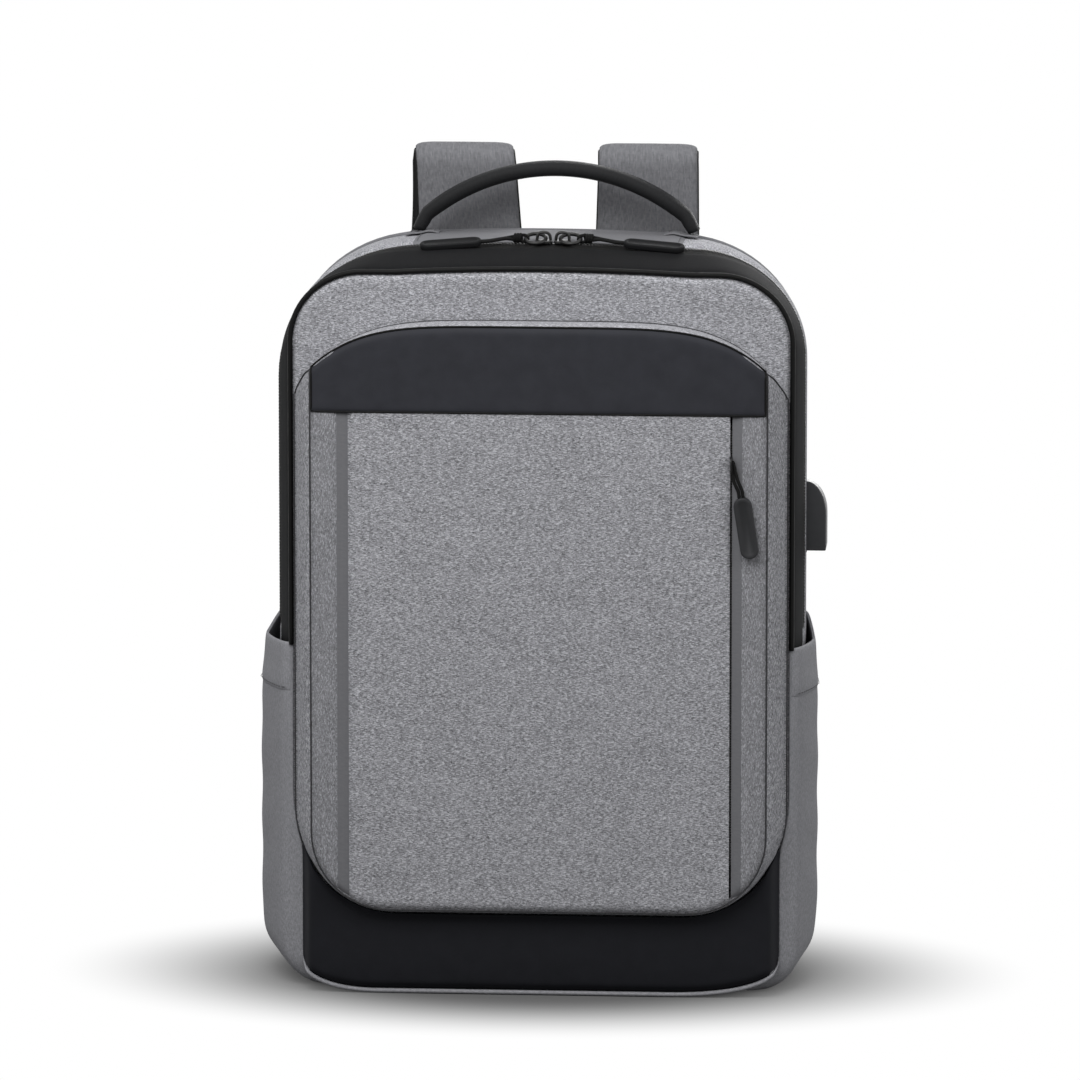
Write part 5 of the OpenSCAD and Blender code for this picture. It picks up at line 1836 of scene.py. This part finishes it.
def bevel_edges(obj, chosen, width, segments):
    """Bevels the edges whose middle point passes a test in mm."""
    select_only(obj)
    bpy.ops.object.mode_set(mode="EDIT")
    bpy.ops.mesh.select_all(action="DESELECT")
    bpy.ops.mesh.select_mode(type="EDGE")
    mesh = bmesh.from_edit_mesh(obj.data)
    for edge in mesh.edges:
        a, b = (np.array(v.co) / MM for v in edge.verts)
        edge.select = bool(chosen((a + b) / 2, b - a))
    bmesh.update_edit_mesh(obj.data)
    bpy.ops.mesh.bevel(offset=width * MM, segments=segments, affect="EDGES", profile=0.5)
    bpy.ops.object.mode_set(mode="OBJECT")


def cut(obj, cutter):
    """Takes a cutter's shape out of a piece."""
    tool = obj.modifiers.new("Cut", "BOOLEAN")
    tool.operation = "DIFFERENCE"
    tool.solver = "EXACT"
    tool.object = cutter
    apply_modifiers(obj)
    bpy.data.objects.remove(cutter)


def upper_edge(middle, step):
    return abs(step[1]) > 1 and middle[0] > usb_high[0] - 0.1 and middle[2] > USB_SHORT_TOP - 0.1


def outer_edge(middle, step):
    """The edges away from the bag: those of both ends, and the lower one."""
    of_end = middle[1] < usb_low[1] + 0.1 or middle[1] > usb_high[1] - 0.1
    lower = middle[2] < usb_low[2] + 0.1 and abs(step[1]) > 1
    return middle[0] > usb_low[0] + 0.3 and (of_end or lower)


housing = block("usb_port_housing_moulding", usb_low, (*usb_high[:2], USB_SHORT_TOP))
bevel_edges(housing, upper_edge, USB_DEPTH * USB_ROUND, 14)
for vertex in housing.data.vertices:
    rise = (vertex.co.z - usb_low[2] * MM) * USB_STRETCH
    back = (vertex.co.y - usb_low[1] * MM) * rise / (USB_HEIGHT * MM)
    vertex.co.z = usb_low[2] * MM + rise - back * USB_FALL
bevel_edges(housing, outer_edge, 0.9, 3)
cut(housing, block("mouth", shell_low - SOCKET_PLAY - (0, 0, 3), shell_high + SOCKET_PLAY))
select_only(housing)
bpy.ops.object.shade_smooth_by_angle(angle=math.radians(35))
sew(dress(housing, "port_plastic"), "bag", "usb_port_housing")
flange_high = (usb_low[0] + 1.1, usb_high[1] + 1.2, usb_high[2] - 3.0)
flange = soft_box("usb_port_flange", usb_low - (0.8, 1.2, 1.0), flange_high, 0.5)
sew(dress(flange, "port_plastic"), "bag")
print("Port housing", round(USB_HEIGHT, 1), "mm tall")

# %% Pieces that are shown as the frame has them
SHOWN_AS_THEY_ARE = {
    "usb_socket_shell": "steel",
    "usb_contact_tongue": "contact_plastic",
    "usb_back_plate": "port_plastic",
    "back_board": "board",
    "handle_core": "core_foam",
}
for node, slot in SHOWN_AS_THEY_ARE.items():
    mesh = frame["nodes"][node].data
    mesh.materials.clear()
    mesh.materials.append(FINISH[slot])
print("Shown as they are:", len(SHOWN_AS_THEY_ARE))

# %% [markdown]
# ## Sliders, rings, cords and grips
# Two sliders meet on top of the zip. Each carries a wire ring, a doubled cord knotted to the ring and
# a moulded grip with a raised rim. The pocket's zip has the same grip on a longer loop.

# %% Grip
GRIP_EDGE = 0.9
GRIP_RIM = 1.3
GRIP_SINK = 0.5


def upright(middle, step):
    return abs(step[2]) > 0.5


def grip(name, length, width, thick):
    """A rounded grip along X from 0 to its length, lying flat, with a rim on both faces."""
    obj = block(name, (0, -width / 2, -thick / 2), (length, width / 2, thick / 2))
    bevel_edges(obj, upright, width * 0.48, 9)
    bevel_edges(obj, lambda m, d: abs(d[2]) < 0.01 and abs(abs(m[2]) - thick / 2) < 0.01, GRIP_EDGE, 4)
    select_only(obj)
    bpy.ops.object.mode_set(mode="EDIT")
    bpy.ops.mesh.select_mode(type="FACE")
    for sign in (-1, 1):
        bpy.ops.mesh.select_all(action="DESELECT")
        mesh = bmesh.from_edit_mesh(obj.data)
        for face in mesh.faces:
            face.select = face.normal.z * sign > 0.99 and face.calc_area() > 50 * MM * MM
        bmesh.update_edit_mesh(obj.data)
        bpy.ops.mesh.inset(thickness=GRIP_RIM * MM, depth=0)
        bpy.ops.mesh.inset(thickness=0.5 * MM, depth=-GRIP_SINK * MM)
    bpy.ops.object.mode_set(mode="OBJECT")
    bpy.ops.object.shade_smooth_by_angle(angle=math.radians(50))
    return obj


def move(obj, matrix):
    obj.data.transform(matrix)
    obj.data.update()
    return obj


# %% Main sliders and pullers
GRIP_L, GRIP_W, GRIP_T = 36, 10.5, 5
THIN_GRIP = 3.4
RING_DROP = 1.8
CORD_R = 1.0
RING_R, WIRE_R = 5.9, 1.15
RING_LEAN = math.radians(20)
PLATE_T = 1.4
PLATE_R = 2.2
PLATE_DROP = 4.0


def slider_body(name, low, high, bar_z, y):
    """Two plates joined by a post, and an arched bridge on the upper plate that holds the ring."""
    x = (low[0] + high[0]) / 2
    plate_z = bar_z - PLATE_DROP
    plate_top = plate_z + PLATE_T
    top = block(name, (*low[:2], plate_z), (*high[:2], plate_top))
    bevel_edges(top, upright, PLATE_R, 5)
    bevel_edges(top, lambda m, d: m[2] > plate_top - 0.05, 0.5, 2)
    bottom = block("plate", (*low[:2], low[2] - 1.9), (*high[:2], low[2] - 1.0))
    bevel_edges(bottom, upright, PLATE_R, 5)
    post = soft_box("post", (x - 1.5, y - 0.8, low[2] - 1.3), (x + 1.5, y + 0.8, plate_z + 0.5), 0.2, 1)
    arch = [(-4.0, plate_z + 0.8), (-3.6, bar_z + 0.9), (-1.5, bar_z + 2.1)]
    arch += [(-step, z) for step, z in arch[::-1]]
    path = smooth_path([(x + step, y, z) for step, z in arch], 26)
    bridge = tube("bridge", path, 0.9, 12, up=(0, 1, 0), squash=1.6)
    return join(name, [top, bottom, post, bridge])


def wire_ring(name, centre, radius, wire, lean):
    bpy.ops.object.select_all(action="DESELECT")
    bpy.ops.mesh.primitive_torus_add(
        location=tuple(np.array(centre) * MM), rotation=(lean, 0, 0), major_radius=radius * MM,
        minor_radius=wire * MM, major_segments=40, minor_segments=12,
    )
    obj = bpy.context.object
    obj.name = name
    bpy.ops.object.transform_apply(location=True, rotation=True, scale=True)
    bpy.ops.object.shade_smooth()
    return obj


def cord_loop(name, points):
    return tube(name, smooth_path(points, 90), CORD_R, 10, up=(0, 1, 0))


def knot(name, centre, axis, radius, turns, length):
    """A few tight turns of cord round the two strands."""
    axis = np.array(axis, float) / np.linalg.norm(axis)
    side = np.cross(axis, (0, 1, 0))
    up = np.cross(side, axis)
    a = np.linspace(0, 2 * math.pi * turns, 14 * turns)[:, None]
    path = np.array(centre) + radius * (np.cos(a) * side + np.sin(a) * up) + axis * (a / a[-1] - 0.5) * length
    return tube(name, path, CORD_R * 0.95, 8, up=tuple(axis))


for side, label in SIDES:
    low, high = box_mm("zip_slider_" + label)
    bar = joint_places[f"puller_{label}_lift"]
    slider = slider_body(f"zip_slider_{label}_casting", low, high, bar[2], bar[1])
    sew(dress(slider, "dark_metal"), "slider_" + label, "zip_slider_" + label)

    near_x = bar[0] - side * 1.2
    centre = (near_x + side * RING_R, bar[1], bar[2] - RING_DROP)
    ring = wire_ring(f"pull_ring_{label}_wire", centre, RING_R, WIRE_R, RING_LEAN)
    sew(dress(ring, "dark_metal"), "puller_" + label, "pull_ring_" + label)

    grip_low, grip_high = box_mm("pull_grip_" + label)
    start = np.array((grip_low[0] if side > 0 else grip_high[0], bar[1] - 5.5, bar[2] - 3.0))
    end = start + np.array((side * GRIP_L, -4.5, -2.4))
    ahead = (end - start) / np.linalg.norm(end - start)
    up = np.array((0, -0.2, 1.0))
    across = np.cross(up, ahead)
    across /= np.linalg.norm(across)
    up = np.cross(ahead, across)
    axes = Matrix((ahead, across, up)).transposed().to_4x4()
    pull_grip = grip(f"pull_grip_{label}_moulding", GRIP_L, GRIP_W, THIN_GRIP)
    move(pull_grip, Matrix.Translation(Vector(start) * MM) @ axes)
    # The top grips wear the darker copy of the rubber, which is painted shade.
    sew(dress(pull_grip, "grip_rubber", FINISH["top_grip_painted_shade"]), "puller_" + label, "pull_grip_" + label)

    far = np.array((centre[0] + side * RING_R, bar[1], bar[2] - RING_DROP))
    apart = np.array((0, 1.25, 0))
    halfway = far + (side * 11, -0.6, 0.2)
    strands = [
        start + ahead * 2 + apart, start - ahead * 5 + apart, halfway + apart,
        far + (side * 4, 0.7, 1.6), far + (0, 0.4, 2.2), far - (side * 2.1, 0, 0),
        far + (0, -0.4, -2.2), far + (side * 4, -0.7, -1.0),
        halfway - apart, start - ahead * 5 - apart, start + ahead * 2 - apart,
    ]
    loop = cord_loop("loop", strands)
    tie = knot("tie", far + (side * 4.4, 0, 0.3), (side, 0, -0.05), radius=2.1, turns=3, length=4.4)
    cord = join(f"pull_cord_{label}_loop", [loop, tie])
    sew(dress(cord, "cord"), "puller_" + label, "pull_cord_" + label)
print("Rings", round(2 * RING_R, 1), "mm across")

# %% Pocket slider and puller
low, high = box_mm("pocket_zip_slider")
eye = joint_places["pocket_puller_lift"]
BLADE_T = 0.7
blade_low = (eye[0] - BLADE_T / 2, *low[1:])
blade_high = (eye[0] + BLADE_T / 2, *high[1:])
blade = block("pocket_zip_slider_casting", blade_low, blade_high)
bevel_edges(blade, lambda m, d: abs(d[0]) > 0.1 and m[1] < low[1] + 0.1, 3.0, 6)
sew(dress(blade, "dark_metal"), "pocket_slider", "pocket_zip_slider")
GRIP_LEAN = math.radians(9)
lean = np.array((math.sin(GRIP_LEAN), 0, -math.cos(GRIP_LEAN)))
grip_top = eye + (6, 0, -18.5)
pocket_grip = grip("pocket_pull_grip_moulding", GRIP_L, GRIP_W, GRIP_T)
turn_down = Matrix.Rotation(math.pi / 2 - GRIP_LEAN, 4, "Y") @ Matrix.Rotation(math.pi / 2, 4, "X")
move(pocket_grip, Matrix.Translation(Vector(grip_top) * MM) @ turn_down)
sew(dress(pocket_grip, "grip_rubber"), "pocket_puller", "pocket_pull_grip")
side_step = np.array((math.cos(GRIP_LEAN), 0, math.sin(GRIP_LEAN)))
strands = []
for turn in (-1, 1):
    strand = [
        grip_top + side_step * turn * 1.15 + lean * 2, grip_top + side_step * turn * 1.15 - lean * 4,
        eye + (3.0 + turn * 1.1, 0, -9.5 + turn * 0.5), eye + (1.6 + turn * 1.0, 0.4, -4),
        eye + (1.0 + turn * 0.6, 1.6, 0.4),
    ]
    strands += strand if turn < 0 else [eye + (0.8, 3.0, 2.6)] + strand[::-1]
pocket_cord = cord_loop("pocket_pull_cord_loop", strands)
sew(dress(pocket_cord, "cord"), "pocket_puller", "pocket_pull_cord")
print("Three grips of", GRIP_L, "mm")

# %% [markdown]
# ## Inside
# When the front half opens, the laptop divider and the power bank's sleeve show. Both are padded
# lining cloth with a bound top edge.

# %% Divider
divider_low, divider_high = box_mm("laptop_divider")
DIVIDER_HALF = divider_high[0]
DIVIDER_R = 20
DIVIDER_LOW_R = LOW_RADIUS - WALL
DIVIDER_T = 4.4
QUILT_RATE = 0.06
columns = spread(divider_low[0], DIVIDER_HALF, 40)
past = np.abs(columns) - DIVIDER_HALF
top = divider_high[2] - round_off(past + DIVIDER_R, DIVIDER_R)
bottom = divider_low[2] + round_off(past + DIVIDER_LOW_R, DIVIDER_LOW_R)
divider_rows = []
for t in spread(0, 1, 30):
    zs = bottom + (top - bottom) * t
    quilt = 0.8 * np.abs(np.sin(columns * QUILT_RATE) * np.sin(zs * QUILT_RATE)) - 0.6
    edge = np.minimum(np.minimum(zs - bottom, top - zs), -past)
    ys = divider_low[1] + 0.8 - quilt * (1 - near(edge, 6)) + 1.2 * near(edge, 2)
    divider_rows.append(row_of(columns, ys, zs))
divider = dress(loft("laptop_divider_quilt", divider_rows, "x", toward=(0, -1, 0)), "lining")
sew(thicken(divider, DIVIDER_T), "bag", "laptop_divider")
binding_x = np.linspace(divider_low[0] + DIVIDER_R, DIVIDER_HALF - DIVIDER_R, 30)
binding = row_of(binding_x, (divider_low[1] + divider_high[1]) / 2, divider_high[2] - 0.5)
sew(dress(tube("laptop_divider_binding", binding, 3.2, 12, up=(0, 1, 0)), "webbing"), "bag")
print("Divider", round(divider_high[2] - divider_low[2]), "mm high")

# %% Sleeve of the power bank
sleeve_low, sleeve_high = box_mm("power_bank_pocket")
SLEEVE_DEPTH = sleeve_high[1] - sleeve_low[1] - 1
SLEEVE_ROLL = 10
SLEEVE_T = 1.2
xs = spread(sleeve_low[0], sleeve_high[0], 30)
rise = np.minimum(1, np.minimum(xs - sleeve_low[0], sleeve_high[0] - xs) / SLEEVE_ROLL)
section = SLEEVE_DEPTH * np.sqrt(np.clip(1 - (1 - rise) ** 2, 0, 1))
sleeve_rows = []
for t in spread(0, 1, 24):
    z = sleeve_low[2] + (sleeve_high[2] - sleeve_low[2]) * t
    belly = section * min(1, t / 0.12 + 0.15) ** 0.5
    sleeve_rows.append(row_of(xs, sleeve_high[1] - 0.6 - belly, z))
sleeve = dress(loft("power_bank_pocket_cloth", sleeve_rows, "x", toward=(0, -1, 0)), "lining")
sew(thicken(sleeve, SLEEVE_T), "bag", "power_bank_pocket")
mouth_path = sleeve_rows[-1] - (0, 0, 1.0)
sew(dress(tube("power_bank_pocket_binding", mouth_path, 1.6, 10), "webbing"), "bag")
print("Sleeve", round(sleeve_high[2] - sleeve_low[2]), "mm high")

# %% [markdown]
# ## Studio
# The floor is white and takes the bag's shadow, and a painted shadow, a soft grey oval under the bag,
# deepens it, as a large softbox close above the bag would. One softbox lights the front from above,
# two fill in from the sides, one hangs over the bag, one lights the back, and the white room does the
# rest. Together they light a surface so that its colour shows about as it is written. To the camera
# the room is plain white.

# %% Floor
# The floor's own dark grey, which shows as painted shadow inside the oval round the bag.
FLOOR_LEVEL = 0.13
SHADE_HALF = (0.296, 0.178)
SHADE_MIDDLE = (-0.003, -0.012, 0.0)


def seen_directly(tree):
    """1 for rays that come from the camera, straight or by way of something shiny or clear."""
    rays = put(tree, "LightPath").outputs
    seen = maths(tree, "MAXIMUM", rays["Is Camera Ray"], rays["Is Glossy Ray"])
    return maths(tree, "MAXIMUM", seen, rays["Is Transmission Ray"])


bpy.ops.object.select_all(action="DESELECT")
bpy.ops.mesh.primitive_plane_add(size=40, location=(0, 0, cad_low.z - 0.0002))
floor = bpy.context.object
floor.name = "studio_floor"
floor_finish, tree, shader = new_finish("Studio floor", Roughness=0.9, Specular_IOR_Level=0.1)
shader.inputs["Base Color"].default_value = (FLOOR_LEVEL, FLOOR_LEVEL, FLOOR_LEVEL, 1)
# Painted shadow: inside an oval round the bag the floor shows its own dark grey to the camera, and further
# out it turns white.
spot = put(tree, "VectorMath", object_place(tree), SHADE_MIDDLE, operation="SUBTRACT").outputs[0]
shrink = (1 / SHADE_HALF[0], 1 / SHADE_HALF[1], 0.0)
spot = put(tree, "VectorMath", spot, shrink, operation="MULTIPLY").outputs[0]
reach = put(tree, "VectorMath", spot, operation="LENGTH").outputs["Value"]
white = ranged(tree, reach, 0.4, 1.0, interpolation_type="SMOOTHSTEP")
share = maths(tree, "MULTIPLY", seen_directly(tree), white)
glow = put(tree, "Emission", (1, 1, 1, 1), 1.0).outputs[0]
both = put(tree, "MixShader", share, shader.outputs[0], glow).outputs[0]
tree.links.new(both, tree.nodes["Material Output"].inputs[0])
floor.data.materials.append(floor_finish)
floor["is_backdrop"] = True
print("Shade on the floor in mm:", [round(2 * half / MM) for half in SHADE_HALF])

# %% Softboxes
AIM = Vector((0, 0, 0.3))
SOFTBOXES = (
    ("key_front", (-0.2, -0.9, 1.3), 0.8, 15.0),
    ("fill_left", (-1.7, -0.9, 1.2), 1.0, 8.0),
    ("fill_right", (1.7, -0.9, 1.2), 1.0, 13.0),
    ("top", (0.0, 0.2, 2.2), 1.4, 10.0),
    ("rear", (0.5, 1.9, 0.9), 1.2, 24.0),
)
for name, place, size, power in SOFTBOXES:
    bpy.ops.object.light_add(type="AREA", location=place)
    lamp = bpy.context.object
    lamp.name = name
    lamp.data.shape = "SQUARE"
    lamp.data.size = size
    lamp.data.energy = power
    lamp.rotation_euler = (AIM - Vector(place)).to_track_quat("-Z", "Y").to_euler()
print("Softboxes:", len(SOFTBOXES))

# %% The white room
ROOM_LIGHT = 0.3
world = bpy.data.worlds.new("Studio")
bpy.context.scene.world = world
world.use_nodes = True
tree = world.node_tree
room = tree.nodes["Background"]
room.inputs["Color"].default_value = (1, 1, 1, 1)
strength = ranged(tree, seen_directly(tree), 0.0, 1.0, ROOM_LIGHT, 1.0)
tree.links.new(strength, room.inputs["Strength"])
bpy.context.scene.view_settings.view_transform = "Standard"

# %% Sizes
low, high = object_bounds()
print("Visual box in mm:", [round(v / MM) for v in (*low, *high)])
